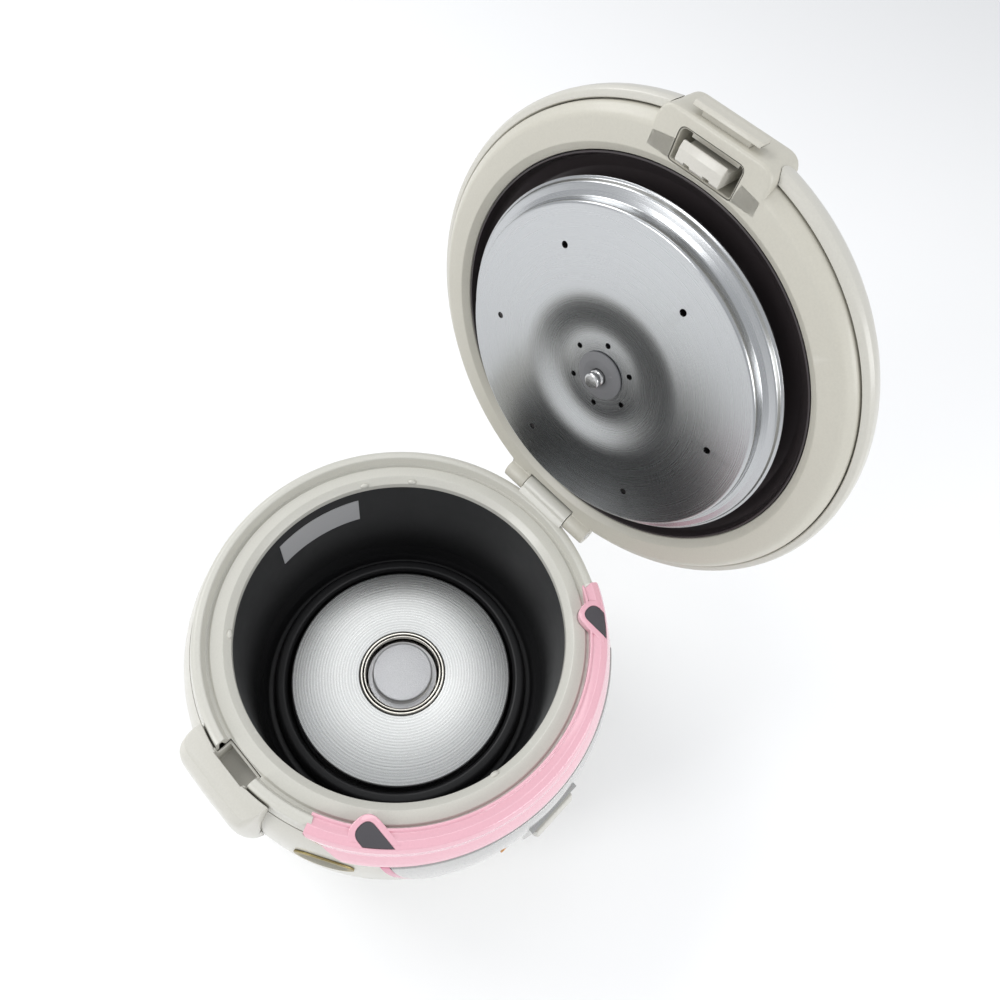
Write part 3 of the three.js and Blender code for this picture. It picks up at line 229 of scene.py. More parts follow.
def pulled(name, points, low, high, axis="Z", arc=5):
    """A closed outline in millimetres pulled straight from low to high along an axis."""
    place = {
        "Z": lambda a, b, c: (a * MM, b * MM, c * MM),
        "Y": lambda a, b, c: (a * MM, c * MM, b * MM),
        "X": lambda a, b, c: (c * MM, a * MM, b * MM),
    }[axis]
    line = rounded_outline(points, arc)
    work = bmesh.new()
    foot = [work.verts.new(place(a, b, low)) for a, b in line]
    head = [work.verts.new(place(a, b, high)) for a, b in line]
    for k in range(len(line)):
        n = (k + 1) % len(line)
        work.faces.new((foot[k], foot[n], head[n], head[k]))
    work.faces.new(list(reversed(foot)))
    work.faces.new(head)
    return mesh_from(name, work)


def box(name, x, y, z):
    return pulled(name, [(x[0], y[0]), (x[1], y[0]), (x[1], y[1]), (x[0], y[1])], *z)


def shaped(piece, tool, operation="DIFFERENCE"):
    """Cuts the tool out of the piece, or joins or keeps the common part, and drops the tool."""
    change = piece.modifiers.new("shape", "BOOLEAN")
    change.operation = operation
    change.solver = "EXACT"
    change.object = tool
    made = baked(piece)
    bpy.data.objects.remove(tool)
    return made


def edged(piece, width, segments=3, angle=35):
    """Rounds the sharp edges that moulding leaves."""
    change = piece.modifiers.new("edge", "BEVEL")
    change.width = width * MM
    change.segments = segments
    change.limit_method = "ANGLE"
    change.angle_limit = math.radians(angle)
    change.use_clamp_overlap = False
    change.harden_normals = False
    return baked(piece)


def surface_group(name, inputs, outputs):
    tree = bpy.data.node_groups.new(name, "ShaderNodeTree")
    for label, kind, value in inputs:
        socket = tree.interface.new_socket(label, in_out="INPUT", socket_type=kind)
        socket.default_value = value
    for label, kind in outputs:
        tree.interface.new_socket(label, in_out="OUTPUT", socket_type=kind)
    return tree, tree.nodes.new("NodeGroupInput"), tree.nodes.new("NodeGroupOutput")


def wired(tree, kind, links=(), **settings):
    """A node with its settings, and what feeds each of its sockets."""
    node = tree.nodes.new(kind)
    for key, value in settings.items():
        setattr(node, key, value)
    for socket, source in dict(links).items():
        if isinstance(source, bpy.types.NodeSocket):
            tree.links.new(source, node.inputs[socket])
        else:
            node.inputs[socket].default_value = source
    return node


# Moulded plastic: a faint eggshell grain, slow drifts of tone, paler rubbed edges and
# fine handling marks that dull the gloss.
moulded, given, out = surface_group(
    "moulded_surface",
    [
        ("Colour", "NodeSocketColor", (0.5, 0.5, 0.5, 1)),
        ("Drift Colour", "NodeSocketColor", (0.4, 0.4, 0.4, 1)),
        ("Gloss Roughness", "NodeSocketFloat", 0.3),
        ("Grain Size", "NodeSocketFloat", 1500.0),
        ("Grain Height", "NodeSocketFloat", 0.1),
        ("Wear", "NodeSocketFloat", 0.3),
    ],
    [
        ("Colour", "NodeSocketColor"),
        ("Roughness", "NodeSocketFloat"),
        ("Normal", "NodeSocketVector"),
    ],
)
spot = wired(moulded, "ShaderNodeTexCoord").outputs["Object"]
drift = wired(moulded, "ShaderNodeTexNoise", {"Vector": spot, "Scale": 14.0, "Detail": 4.0})
speck = wired(moulded, "ShaderNodeTexNoise", {"Vector": spot, "Scale": 900.0, "Detail": 2.0})
grain = wired(
    moulded,
    "ShaderNodeTexNoise",
    {"Vector": spot, "Scale": given.outputs["Grain Size"], "Detail": 2.0},
)
marks = wired(
    moulded,
    "ShaderNodeTexNoise",
    {"Vector": spot, "Scale": 38.0, "Detail": 5.0, "Roughness": 0.6, "Distortion": 0.2},
)
drifted = wired(
    moulded,
    "ShaderNodeMix",
    {"Factor": drift.outputs["Fac"], 6: given.outputs["Colour"], 7: given.outputs["Drift Colour"]},
    data_type="RGBA",
)
speckled = wired(
    moulded,
    "ShaderNodeMapRange",
    {"Value": speck.outputs["Fac"], "From Min": 0.3, "From Max": 0.7, "To Min": 0.975, "To Max": 1.02},
)
toned = wired(
    moulded,
    "ShaderNodeVectorMath",
    {0: drifted.outputs[2], "Scale": speckled.outputs["Result"]},
    operation="SCALE",
)
edges = wired(
    moulded,
    "ShaderNodeMapRange",
    {
        "Value": wired(moulded, "ShaderNodeNewGeometry").outputs["Pointiness"],
        "From Min": 0.6,
        "From Max": 0.75,
    },
)
rubbed = wired(
    moulded,
    "ShaderNodeMath",
    {0: edges.outputs["Result"], 1: given.outputs["Wear"]},
    operation="MULTIPLY",
)
paler = wired(
    moulded,
    "ShaderNodeMix",
    {"Factor": rubbed.outputs[0], 6: toned.outputs[0], 7: (0.9, 0.89, 0.86, 1)},
    data_type="RGBA",
)
moulded.links.new(paler.outputs[2], out.inputs["Colour"])
dulled = wired(
    moulded,
    "ShaderNodeMapRange",
    {"Value": marks.outputs["Fac"], "From Min": 0.3, "From Max": 0.7, "To Min": 0.94, "To Max": 1.08},
)
rough = wired(
    moulded,
    "ShaderNodeMath",
    {0: dulled.outputs["Result"], 1: given.outputs["Gloss Roughness"]},
    operation="MULTIPLY",
    use_clamp=True,
)
moulded.links.new(rough.outputs[0], out.inputs["Roughness"])
relief = wired(
    moulded,
    "ShaderNodeBump",
    {"Height": grain.outputs["Fac"], "Strength": given.outputs["Grain Height"], "Distance": 0.00012},
)
moulded.links.new(relief.outputs["Normal"], out.inputs["Normal"])


def shader_of(name):
    material = bpy.data.materials.new(name)
    material.use_nodes = True
    return material, material.node_tree, material.node_tree.nodes["Principled BSDF"]


def plastic(name, colour, drift_colour, roughness, grain=1500.0, height=0.1, wear=0.3, coat=0.0):
    material, tree, shader = shader_of(name)
    values = {
        "Colour": (*colour, 1),
        "Drift Colour": (*drift_colour, 1),
        "Gloss Roughness": roughness,
        "Grain Size": grain,
        "Grain Height": height,
        "Wear": wear,
    }
    detail = wired(tree, "ShaderNodeGroup", values, node_tree=moulded)
    tree.links.new(detail.outputs["Colour"], shader.inputs["Base Color"])
    tree.links.new(detail.outputs["Roughness"], shader.inputs["Roughness"])
    tree.links.new(detail.outputs["Normal"], shader.inputs["Normal"])
    shader.inputs["Coat Weight"].default_value = coat
    shader.inputs["Coat Roughness"].default_value = 0.06
    return material


def fitted(piece, body, nodes, material, crease=32):
    """Finishes a piece: its shading, its material, and what it stands for in the frame."""
    piece.data.materials.clear()
    piece.data.materials.append(material)
    smoothed(piece, crease)
    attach(piece, body)
    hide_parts(*nodes)
    return piece


ivory = plastic("ivory_gloss", (0.59, 0.575, 0.52), (0.56, 0.545, 0.49), 0.3, 320, 0.03, 0.1, 0.15)


def geometry_tree(name, inputs):
    tree = bpy.data.node_groups.new(name, "GeometryNodeTree")
    for label, kind, value in inputs:
        socket = tree.interface.new_socket(label, in_out="INPUT", socket_type=kind)
        if value is not None:
            socket.default_value = value
    tree.interface.new_socket("Geometry", in_out="OUTPUT", socket_type="NodeSocketGeometry")
    return tree, tree.nodes.new("NodeGroupInput"), tree.nodes.new("NodeGroupOutput")


def grown(name, tree, **values):
    """A plain mesh grown by a node tree, its inputs set by their sockets' identifiers."""
    seed = named_object(name, bpy.data.meshes.new(name))
    grow = seed.modifiers.new("grow", "NODES")
    grow.node_group = tree
    known = {s.name: s.identifier for s in tree.interface.items_tree if s.in_out == "INPUT"}
    for label, value in values.items():
        grow[known[label.replace("_", " ")]] = value
    return baked(seed)


barrel, given, out = geometry_tree(
    "barrel_wall",
    [
        ("Belly Radius", "NodeSocketFloat", BELLY_RADIUS * MM),
        ("Belly Height", "NodeSocketFloat", BELLY_HEIGHT * MM),
        ("Base Radius", "NodeSocketFloat", BASE_RADIUS * MM),
        ("Shoulder Radius", "NodeSocketFloat", SHOULDER_RADIUS * MM),
        ("Foot Height", "NodeSocketFloat", SHELL_FOOT * MM),
        ("Shoulder Height", "NodeSocketFloat", SHOULDER * MM),
        ("Facets Round", "NodeSocketInt", 193),
        ("Rows Up", "NodeSocketInt", 48),
        ("Finish", "NodeSocketMaterial", None),
    ],
)


def sum_of(tree, operation, a, b, clamp=False):
    return wired(tree, "ShaderNodeMath", {0: a, 1: b}, operation=operation, use_clamp=clamp).outputs[0]


grid = wired(
    barrel,
    "GeometryNodeMeshGrid",
    {
        "Size X": 1.0,
        "Size Y": 1.0,
        "Vertices X": given.outputs["Facets Round"],
        "Vertices Y": given.outputs["Rows Up"],
    },
)
place = wired(barrel, "ShaderNodeSeparateXYZ", {0: wired(barrel, "GeometryNodeInputPosition").outputs[0]})
round_angle = sum_of(barrel, "MULTIPLY", place.outputs["X"], 2 * math.pi)
height = wired(
    barrel,
    "ShaderNodeMapRange",
    {
        "Value": place.outputs["Y"],
        "From Min": -0.5,
        "From Max": 0.5,
        "To Min": given.outputs["Foot Height"],
        "To Max": given.outputs["Shoulder Height"],
    },
).outputs["Result"]


def share(top, low, high):
    """How far the height is from low to high, from 0 to 1."""
    return sum_of(
        barrel,
        "DIVIDE",
        sum_of(barrel, "SUBTRACT", top, low),
        sum_of(barrel, "SUBTRACT", high, low),
        clamp=True,
    )


belly = given.outputs["Belly Radius"]
belly_height = given.outputs["Belly Height"]
fall = sum_of(barrel, "POWER", share(height, belly_height, given.outputs["Foot Height"]), 2.4)
rise = sum_of(barrel, "POWER", share(height, belly_height, given.outputs["Shoulder Height"]), 5.0)
below = sum_of(barrel, "MULTIPLY", fall, sum_of(barrel, "SUBTRACT", belly, given.outputs["Base Radius"]))
above = sum_of(
    barrel, "MULTIPLY", rise, sum_of(barrel, "SUBTRACT", belly, given.outputs["Shoulder Radius"])
)
radius = sum_of(barrel, "SUBTRACT", sum_of(barrel, "SUBTRACT", belly, below), above)
wall_place = wired(
    barrel,
    "ShaderNodeCombineXYZ",
    {
        "X": sum_of(barrel, "MULTIPLY", radius, sum_of(barrel, "COSINE", round_angle, 0.0)),
        "Y": sum_of(barrel, "MULTIPLY", radius, sum_of(barrel, "SINE", round_angle, 0.0)),
        "Z": height,
    },
)
wall = wired(
    barrel,
    "GeometryNodeSetPosition",
    {"Geometry": grid.outputs["Mesh"], "Position": wall_place.outputs[0]},
)
closed = wired(barrel, "GeometryNodeMergeByDistance", {"Geometry": wall.outputs[0], "Distance": 1e-6})
whole = wired(barrel, "GeometryNodeRealizeInstances", {"Geometry": closed.outputs[0]})
painted = wired(
    barrel,
    "GeometryNodeSetMaterial",
    {"Geometry": whole.outputs[0], "Material": given.outputs["Finish"]},
)
barrel.links.new(painted.outputs[0], out.inputs["Geometry"])

GAP = 0.3
LEVER_HEIGHT = 125
LEVER_WIDTH = 34
GUIDE_HALF = LEVER_WIDTH / 2 + 3.8
GUIDE_LOW = LEVER_HEIGHT - 22.8
GUIDE_HIGH = LEVER_HEIGHT + 16.8
NOTCH_HALF = 15

shell = grown("outer_shell_skin", barrel, Finish=ivory)
thick = shell.modifiers.new("wall", "SOLIDIFY")
thick.thickness = SHELL_WALL * MM
thick.offset = -1
thick.use_even_offset = True
shell = baked(shell)
inlet_low, inlet_high = (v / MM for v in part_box("inlet_socket"))
guide_hole = ((-GUIDE_HALF - GAP, GUIDE_HALF + GAP), (-200, -100), (GUIDE_LOW - GAP, GUIDE_HIGH + GAP))
shell = shaped(shell, box("lever_opening", *guide_hole))
shell = shaped(
    shell,
    box(
        "inlet_opening",
        (inlet_low.x - GAP, inlet_high.x + GAP),
        (100, 200),
        (inlet_low.z - GAP, inlet_high.z + GAP),
    ),
)
shell = shaped(shell, box("latch_opening", (-160, -121), (-NOTCH_HALF, NOTCH_HALF), (LIP - 14.6, 200)))
fitted(shell, "cooker", ["outer_shell"], ivory)

# ---- Base plate, feet and screws ----
# A charcoal moulding that closes the shell from below, with air slots and four round feet.
# Three zinc-plated screws hold it up into the shell's bosses.

charcoal = plastic("charcoal_satin", (0.045, 0.043, 0.046), (0.035, 0.034, 0.037), 0.42, 1100, 0.25, 0.1)
base = turned(
    "base_plate_moulded",
    [(0, 0), (BASE_RADIUS + 1, 0, 3), (BASE_RADIUS + 1, 3.6, 0.5), (0, 3.6)],
)

pegs, given, out = geometry_tree(
    "pegs_round_a_circle",
    [
        ("Count", "NodeSocketInt", 4),
        ("Circle Radius", "NodeSocketFloat", 0.1),
        ("First Angle", "NodeSocketFloat", 0.0),
        ("Peg Radius", "NodeSocketFloat", 0.01),
        ("Peg Height", "NodeSocketFloat", 0.01),
        ("Middle Height", "NodeSocketFloat", 0.0),
        ("Facets", "NodeSocketInt", 32),
        ("Finish", "NodeSocketMaterial", None),
    ],
)
circle = wired(
    pegs,
    "GeometryNodeMeshCircle",
    {"Vertices": given.outputs["Count"], "Radius": given.outputs["Circle Radius"]},
)
turn = wired(pegs, "ShaderNodeCombineXYZ", {"Z": given.outputs["First Angle"]})
lift = wired(pegs, "ShaderNodeCombineXYZ", {"Z": given.outputs["Middle Height"]})
spread = wired(
    pegs,
    "GeometryNodeTransform",
    {"Geometry": circle.outputs[0], "Translation": lift.outputs[0], "Rotation": turn.outputs[0]},
)
peg = wired(
    pegs,
    "GeometryNodeMeshCylinder",
    {
        "Vertices": given.outputs["Facets"],
        "Radius": given.outputs["Peg Radius"],
        "Depth": given.outputs["Peg Height"],
    },
)
placed = wired(
    pegs,
    "GeometryNodeInstanceOnPoints",
    {"Points": spread.outputs[0], "Instance": peg.outputs["Mesh"]},
)
whole = wired(pegs, "GeometryNodeRealizeInstances", {"Geometry": placed.outputs[0]})
painted = wired(
    pegs,
    "GeometryNodeSetMaterial",
    {"Geometry": whole.outputs[0], "Material": given.outputs["Finish"]},
)
pegs.links.new(painted.outputs[0], out.inputs["Geometry"])

feet = grown(
    "base_feet",
    pegs,
    Count=4,
    Circle_Radius=0.092,
    First_Angle=math.radians(45),
    Peg_Radius=0.009,
    Peg_Height=0.0065,
    Middle_Height=-0.00275,
    Finish=charcoal,
)
feet = edged(feet, 1.2)
for i, y in enumerate((-24, -8, 8, 24)):
    for x in (-50, 50):
        slot_ends = [(x - 18, y - 2, 2), (x + 18, y - 2, 2), (x + 18, y + 2, 2), (x - 18, y + 2, 2)]
        base = shaped(base, pulled("air_slot", slot_ends, -1, 5))
screw_holes = grown(
    "screw_holes",
    pegs,
    Count=3,
    Circle_Radius=0.108,
    First_Angle=math.radians(30),
    Peg_Radius=0.0023,
    Peg_Height=0.02,
)
base = shaped(base, screw_holes)
fitted(base, "cooker", ["base_plate"], charcoal)
fitted(feet, "cooker", [], charcoal)

# ---- Top ring ----
# The pale rim that carries the lid: a chamfered lip, a flat land, a groove and a rounded
# outer band in one moulding. The middle knuckle of the hinge stands on it.

PANEL_FROM = -152
PANEL_TO = -28
PANEL_INNER = 122.5
INLAY_X = 97
RIM = LIP + 8.3
ring_beige = plastic("ring_satin", (0.60, 0.59, 0.535), (0.565, 0.555, 0.50), 0.3, 1300, 0.08, 0.35, 0.2)

ring = turned(
    "top_ring_moulded",
    [
        (108, LIP - 6, 0.3),
        (108, LIP - 1.2, 0.8),
        (112.6, LIP + 2.4, 1.5),
        (120.2, LIP + 2.4, 0.9),
        (121.4, LIP + 0.9, 0.5),
        (123.4, LIP + 0.9, 0.6),
        (124.5, RIM - 0.4, 1.4),
        (128.0, RIM, 3),
        (130.6, RIM - 1.0, 2.6),
        (131.6, LIP + 1, 3),
        (133.2, SHOULDER + GAP, 0.4),
        (130.4, SHOULDER + GAP, 0.3),
        (128.6, LIP + 5.6, 1),
        (126.8, LIP + 5.6, 1),
        (126.0, LIP - 1.2, 0.5),
        (111, LIP - 1.2, 0.8),
        (110.4, LIP - 6, 0.3),
    ],
    sides=256,
    arc=5,
)


def panel_wedge(name, spare, low, high):
    """The space of the front panel, whose two ends lean away from each other upwards."""
    reach = 190
    lean = 0.95
    work = bmesh.new()
    corners = []
    for z in (low, high):
        ends = []
        for angle, side in ((PANEL_FROM, -1), (PANEL_TO, 1)):
            turn = math.radians(angle) + side * (spare / 130 - lean * (RIM - z) / 130 * 0.9)
            ends.append((reach * math.cos(turn), reach * math.sin(turn)))
        far = [(-reach * 1.2, -reach * 1.6), (reach * 1.2, -reach * 1.6)]
        corners.append([(0, 0), ends[0], far[0], far[1], ends[1]])
    rows = [
        [work.verts.new((x * MM, y * MM, z * MM)) for x, y in row]
        for row, z in zip(corners, (low, high))
    ]
    for k in range(5):
        n = (k + 1) % 5
        work.faces.new((rows[0][k], rows[0][n], rows[1][n], rows[1][k]))
    work.faces.new(rows[0])
    work.faces.new(rows[1])
    return mesh_from(name, work)


def inlay_bar(name, side, margin, low, high, corner=5.9):
    half = 6 + margin
    x = side * INLAY_X
    end = -75 + margin
    return pulled(
        name,
        [
            (x - half, -150),
            (x + half, -150),
            (x + half, end, (corner + margin) * 1.25),
            (x - half, end, (corner + margin) * 1.25),
        ],
        low,
        high,
        arc=10,
    )


panel_space = turned(
    "panel_space",
    [
        (PANEL_INNER - GAP, LIP + 0.9),
        (129, LIP + 0.9),
        (129, LIP - 4),
        (150, LIP - 4),
        (150, RIM + 5),
        (PANEL_INNER - GAP, RIM + 5),
    ],
    sides=256,
)
panel_space = shaped(panel_space, panel_wedge("ends", GAP, LIP - 20, RIM + 9), "INTERSECT")
ring = shaped(ring, panel_space)
for side in (-1, 1):
    bump = inlay_bar("bump", side, 4 + GAP, LIP + 1.7, RIM + 5)
    round_limit = turned("limit", [(0, LIP), (134.8, LIP), (134.8, RIM + 9), (0, RIM + 9)])
    ring = shaped(ring, shaped(bump, round_limit, "INTERSECT"))
ring = shaped(ring, box("catch_notch", (-160, -121), (-NOTCH_HALF, NOTCH_HALF), (LIP - 9, RIM + 5)))

hinge_low, hinge_high = (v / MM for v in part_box("hinge_pin"))
HINGE_X = (hinge_low.x + hinge_high.x) / 2
HINGE_Z = (hinge_low.z + hinge_high.z) / 2
KNUCKLE_RADIUS = 7.2
KNUCKLE_HALF = 20
EAR_WIDTH = 18


def round_bar(name, radius, x, z, y0, y1, sides=48):
    line = [
        (x + radius * math.cos(2 * math.pi * k / sides), z + radius * math.sin(2 * math.pi * k / sides))
        for k in range(sides)
    ]
    return pulled(name, line, y0, y1, "Y")


for side in (-1, 1):
    y0, y1 = sorted((side * (KNUCKLE_HALF + 0.001), side * (KNUCKLE_HALF + EAR_WIDTH + 1.2)))
    ring = shaped(ring, round_bar("ear_room", KNUCKLE_RADIUS + 0.8, HINGE_X, HINGE_Z, y0, y1))
neck = pulled(
    "neck",
    [(126, LIP - 1), (HINGE_X, LIP - 1, 2), (HINGE_X, HINGE_Z), (130, HINGE_Z + 4, 3), (126, HINGE_Z - 1, 1)],
    -KNUCKLE_HALF,
    KNUCKLE_HALF,
    "Y",
)
knuckle = shaped(
    neck,
    round_bar("knuckle", KNUCKLE_RADIUS, HINGE_X, HINGE_Z, -KNUCKLE_HALF, KNUCKLE_HALF),
    "UNION",
)
ring = shaped(ring, knuckle, "UNION")
ring = shaped(ring, round_bar("pin_hole", 2.7, HINGE_X, HINGE_Z, -60, 60, 24))
fitted(ring, "cooker", ["top_ring"], ring_beige)

# Four small pips on the lip centre the pot. They are moulded on the ring.
pips = bmesh.new()
for angle in (141, 64, 46, -101):
    place = Matrix.Rotation(math.radians(angle), 4, "Z") @ Matrix.Translation(
        (109.2 * MM, 0, (LIP - 0.6) * MM)
    )
    flattened = place @ Matrix.Diagonal((0.7, 1.25, 0.9, 1))
    bmesh.ops.create_uvsphere(
        pips, u_segments=20, v_segments=12, radius=2.6 * MM, matrix=flattened
    )
pips = mesh_from("ring_pips", pips)
fitted(pips, "cooker", [], ring_beige)

# ---- Front panel and its inlays ----
# Glossy pink plastic that clips over the ring's front, with two charcoal inlays let into it.
# The skin is mirror smooth, with a slight orange peel.

pink = plastic("pink_gloss", (0.80, 0.45, 0.52), (0.77, 0.41, 0.48), 0.1, 260, 0.03, 0.05, 1.0)
panel_low = LIP - 14
skin = [(barrel_radius(z) + GAP + 2.6, z) for z in (panel_low, LIP - 10, LIP - 6, SHOULDER)]
lining = [(barrel_radius(z) + GAP, z) for z in (SHOULDER, LIP - 7, panel_low)]
panel = turned(
    "front_panel_moulded",
    [
        (skin[0][0] - 0.2, skin[0][1], 1.2),
        *[(r, z, 2) for r, z in skin[1:]],
        (SHOULDER_RADIUS + 2.2, LIP + 4, 3),
        (SHOULDER_RADIUS + 0.2, RIM - 0.6, 2),
        (SHOULDER_RADIUS - 4, RIM, 2),
        (PANEL_INNER + 2.2, RIM - 1.6, 0.8),
        (PANEL_INNER + 1.4, RIM - 0.2, 0.5),
        (PANEL_INNER, RIM - 0.3, 0.5),
        (PANEL_INNER, LIP + 1.4, 0.2),
        (PANEL_INNER + 2, LIP + 1.4, 0.2),
        (PANEL_INNER + 3, LIP + 6, 0.6),
        (SHOULDER_RADIUS - 3, LIP + 5, 1),
        *lining,
    ],
    sides=256,
    arc=5,
)
panel = shaped(panel, panel_wedge("ends", 0, panel_low - 9, RIM + 9), "INTERSECT")
inlay_grey = plastic("inlay_satin", (0.075, 0.07, 0.078), (0.06, 0.057, 0.063), 0.36, 1200, 0.2, 0.1)
for side, word in ((-1, "left"), (1, "right")):
    under = turned(
        "under_panel",
        [(0, LIP), (SHOULDER_RADIUS - 2.1, LIP), (SHOULDER_RADIUS - 2.1, RIM + 2), (0, RIM + 2)],
        sides=250,
    )
    bump = shaped(edged(inlay_bar("bump", side, 4, LIP + 2, RIM - 0.06), 0.6), under, "INTERSECT")
    panel = shaped(panel, bump, "UNION")
    limit = turned(
        "limit",
        [(0, LIP), (SHOULDER_RADIUS, LIP), (SHOULDER_RADIUS, RIM + 9), (0, RIM + 9)],
        sides=256,
    )
    panel = shaped(panel, shaped(inlay_bar("pocket", side, GAP, RIM - 1.9, RIM + 4), limit, "INTERSECT"))
    inlay = inlay_bar(f"panel_inlay_{word}_moulded", side, 0, LIP, RIM + 4)
    limit = turned(
        "limit",
        [
            (0, RIM - 1.6),
            (SHOULDER_RADIUS - 0.4, RIM - 1.6),
            (SHOULDER_RADIUS - 0.4, RIM - 0.6, 0.8),
            (0, RIM - 0.2),
        ],
        sides=256,
    )
    inlay = shaped(inlay, limit, "INTERSECT")
    fitted(inlay, "cooker", [f"panel_inlay_{word}"], inlay_grey)
fitted(panel, "cooker", ["front_panel"], pink, 40)

# ---- Silver face and its trim ----
# Pearl-metallic painted plastic under the pink panel, ending below in a wide curve, with a
# narrow pink trim strip clipped round that curve.

pearl, tree, shader = shader_of("pearl_metallic")
spot = wired(tree, "ShaderNodeTexCoord").outputs["Object"]
flake = wired(tree, "ShaderNodeTexVoronoi", {"Vector": spot, "Scale": 2600.0})
mist = wired(tree, "ShaderNodeTexNoise", {"Vector": spot, "Scale": 9.0, "Detail": 3.0})
tone = wired(
    tree,
    "ShaderNodeMix",
    {"Factor": mist.outputs["Fac"], 6: (0.44, 0.44, 0.43, 1), 7: (0.54, 0.535, 0.52, 1)},
    data_type="RGBA",
)
sparkle = wired(
    tree,
    "ShaderNodeMix",
    {"Factor": 0.12, 6: tone.outputs[2], 7: flake.outputs["Color"]},
    data_type="RGBA",
    blend_type="SOFT_LIGHT",
)
tree.links.new(sparkle.outputs[2], shader.inputs["Base Color"])
sheen = wired(
    tree,
    "ShaderNodeMapRange",
    {"Value": flake.outputs["Distance"], "To Min": 0.24, "To Max": 0.34},
)
tree.links.new(sheen.outputs["Result"], shader.inputs["Roughness"])
shader.inputs["Metallic"].default_value = 0.65
shader.inputs["Coat Weight"].default_value = 1.0
shader.inputs["Coat Roughness"].default_value = 0.04
orange_peel = wired(tree, "ShaderNodeTexNoise", {"Vector": spot, "Scale": 220.0})
peel = wired(
    tree,
    "ShaderNodeBump",
    {"Height": orange_peel.outputs["Fac"], "Strength": 0.03, "Distance": 0.0004},
)
tree.links.new(peel.outputs["Normal"], shader.inputs["Normal"])

FACE_TOP = panel_low - GAP
FACE_WALL = 3
FACE_HALF = 98
FACE_DROP = 68
TRIM_WIDTH = 4
LENS_X = 38
LENS_HEIGHT = LEVER_HEIGHT + 4


def face_band(name, low, high, inside, outside, round_edge):
    heights = [low + (high - low) * k / 9 for k in range(10)]
    outer = [(barrel_radius(z) + outside, z, round_edge if k in (0, 9) else 0) for k, z in enumerate(heights)]
    inner = [(barrel_radius(z) + inside, z) for z in reversed(heights)]
    return turned(name, outer + inner, sides=300)


def curve_tool(name, margin, count=96):
    line = [(-FACE_HALF - margin, FACE_TOP + 30), (FACE_HALF + margin, FACE_TOP + 30)]
    for k in range(count + 1):
        turn = math.pi * k / count
        line.append(
            ((FACE_HALF + margin) * math.cos(turn), FACE_TOP - (FACE_DROP + margin) * math.sin(turn))
        )
    return pulled(name, line, -190, -20, "Y")


face_low = FACE_TOP - FACE_DROP - TRIM_WIDTH - 4
face = shaped(
    face_band("silver_face_painted", face_low, FACE_TOP, GAP, GAP + FACE_WALL, 0.5),
    curve_tool("curve", 0),
    "INTERSECT",
)
face = shaped(face, box("lever_opening", *guide_hole))
lens_amber = plastic("lamp_amber", (0.72, 0.33, 0.07), (0.62, 0.26, 0.05), 0.12, 900, 0.05, 0.1, 0.5)
for word, side in (("cook", -1), ("warm", 1)):
    x = side * LENS_X
    out = -math.sqrt((barrel_radius(LENS_HEIGHT) + FACE_WALL) ** 2 - x**2)
    face = shaped(face, round_bar("lens_hole", 3.3, x, LENS_HEIGHT, out - 9, out + 9, 40))
    lens = edged(round_bar(f"{word}_lamp_lens_moulded", 3.0, x, LENS_HEIGHT, out - 0.6, out + 2.5, 40), 0.45)
    fitted(lens, "cooker", [f"{word}_lamp_lens"], lens_amber)
fitted(face, "cooker", ["silver_face"], pearl)

trim = shaped(
    face_band("trim_curve_moulded", face_low, FACE_TOP, GAP, GAP + FACE_WALL - 0.6, 0.4),
    curve_tool("curve", TRIM_WIDTH),
    "INTERSECT",
)
trim = shaped(trim, curve_tool("curve", GAP))
trim_pink = plastic("trim_pink", (0.62, 0.20, 0.30), (0.58, 0.17, 0.27), 0.14, 300, 0.03, 0.1, 0.6)
fitted(trim, "cooker", ["trim_curve"], trim_pink)

# ---- Oval badge ----
# A thin gilt oval, stuck on, with a darker bronze field and a raised, paler edge. It is blank.

gilt, tree, shader = shader_of("badge_gilt")
spot = wired(tree, "ShaderNodeTexCoord").outputs["Object"]
badge_low, badge_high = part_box("oval_badge")
badge_middle = (badge_low + badge_high) / 2
centred = wired(
    tree,
    "ShaderNodeMapping",
    {
        "Vector": spot,
        "Location": badge_middle,
        "Rotation": (0, 0, math.radians(-60)),
        "Scale": (0.019, 1.0, 0.009),
    },
    vector_type="TEXTURE",
)
face_place = wired(
    tree,
    "ShaderNodeVectorMath",
    {0: centred.outputs[0], 1: (1, 0, 1)},
    operation="MULTIPLY",
)
oval = wired(tree, "ShaderNodeVectorMath", {0: face_place.outputs[0]}, operation="LENGTH")
edge = wired(
    tree,
    "ShaderNodeMapRange",
    {"Value": oval.outputs["Value"], "From Min": 0.78, "From Max": 0.84},
    interpolation_type="SMOOTHSTEP",
)
stipple = wired(tree, "ShaderNodeTexNoise", {"Vector": spot, "Scale": 1600.0, "Detail": 3.0})
field = wired(
    tree,
    "ShaderNodeMix",
    {"Factor": stipple.outputs["Fac"], 6: (0.10, 0.088, 0.045, 1), 7: (0.17, 0.145, 0.07, 1)},
    data_type="RGBA",
)
gold = wired(
    tree,
    "ShaderNodeMix",
    {"Factor": edge.outputs["Result"], 6: field.outputs[2], 7: (0.30, 0.245, 0.11, 1)},
    data_type="RGBA",
)
tree.links.new(gold.outputs[2], shader.inputs["Base Color"])
shader.inputs["Metallic"].default_value = 0.85
worn = wired(tree, "ShaderNodeMapRange", {"Value": stipple.outputs["Fac"], "To Min": 0.25, "To Max": 0.45})
tree.links.new(worn.outputs["Result"], shader.inputs["Roughness"])
raised = wired(
    tree,
    "ShaderNodeMath",
    {0: edge.outputs["Result"], 1: stipple.outputs["Fac"]},
    operation="ADD",
)
relief = wired(tree, "ShaderNodeBump", {"Height": raised.outputs[0], "Strength": 0.5, "Distance": 0.0003})
tree.links.new(relief.outputs["Normal"], shader.inputs["Normal"])

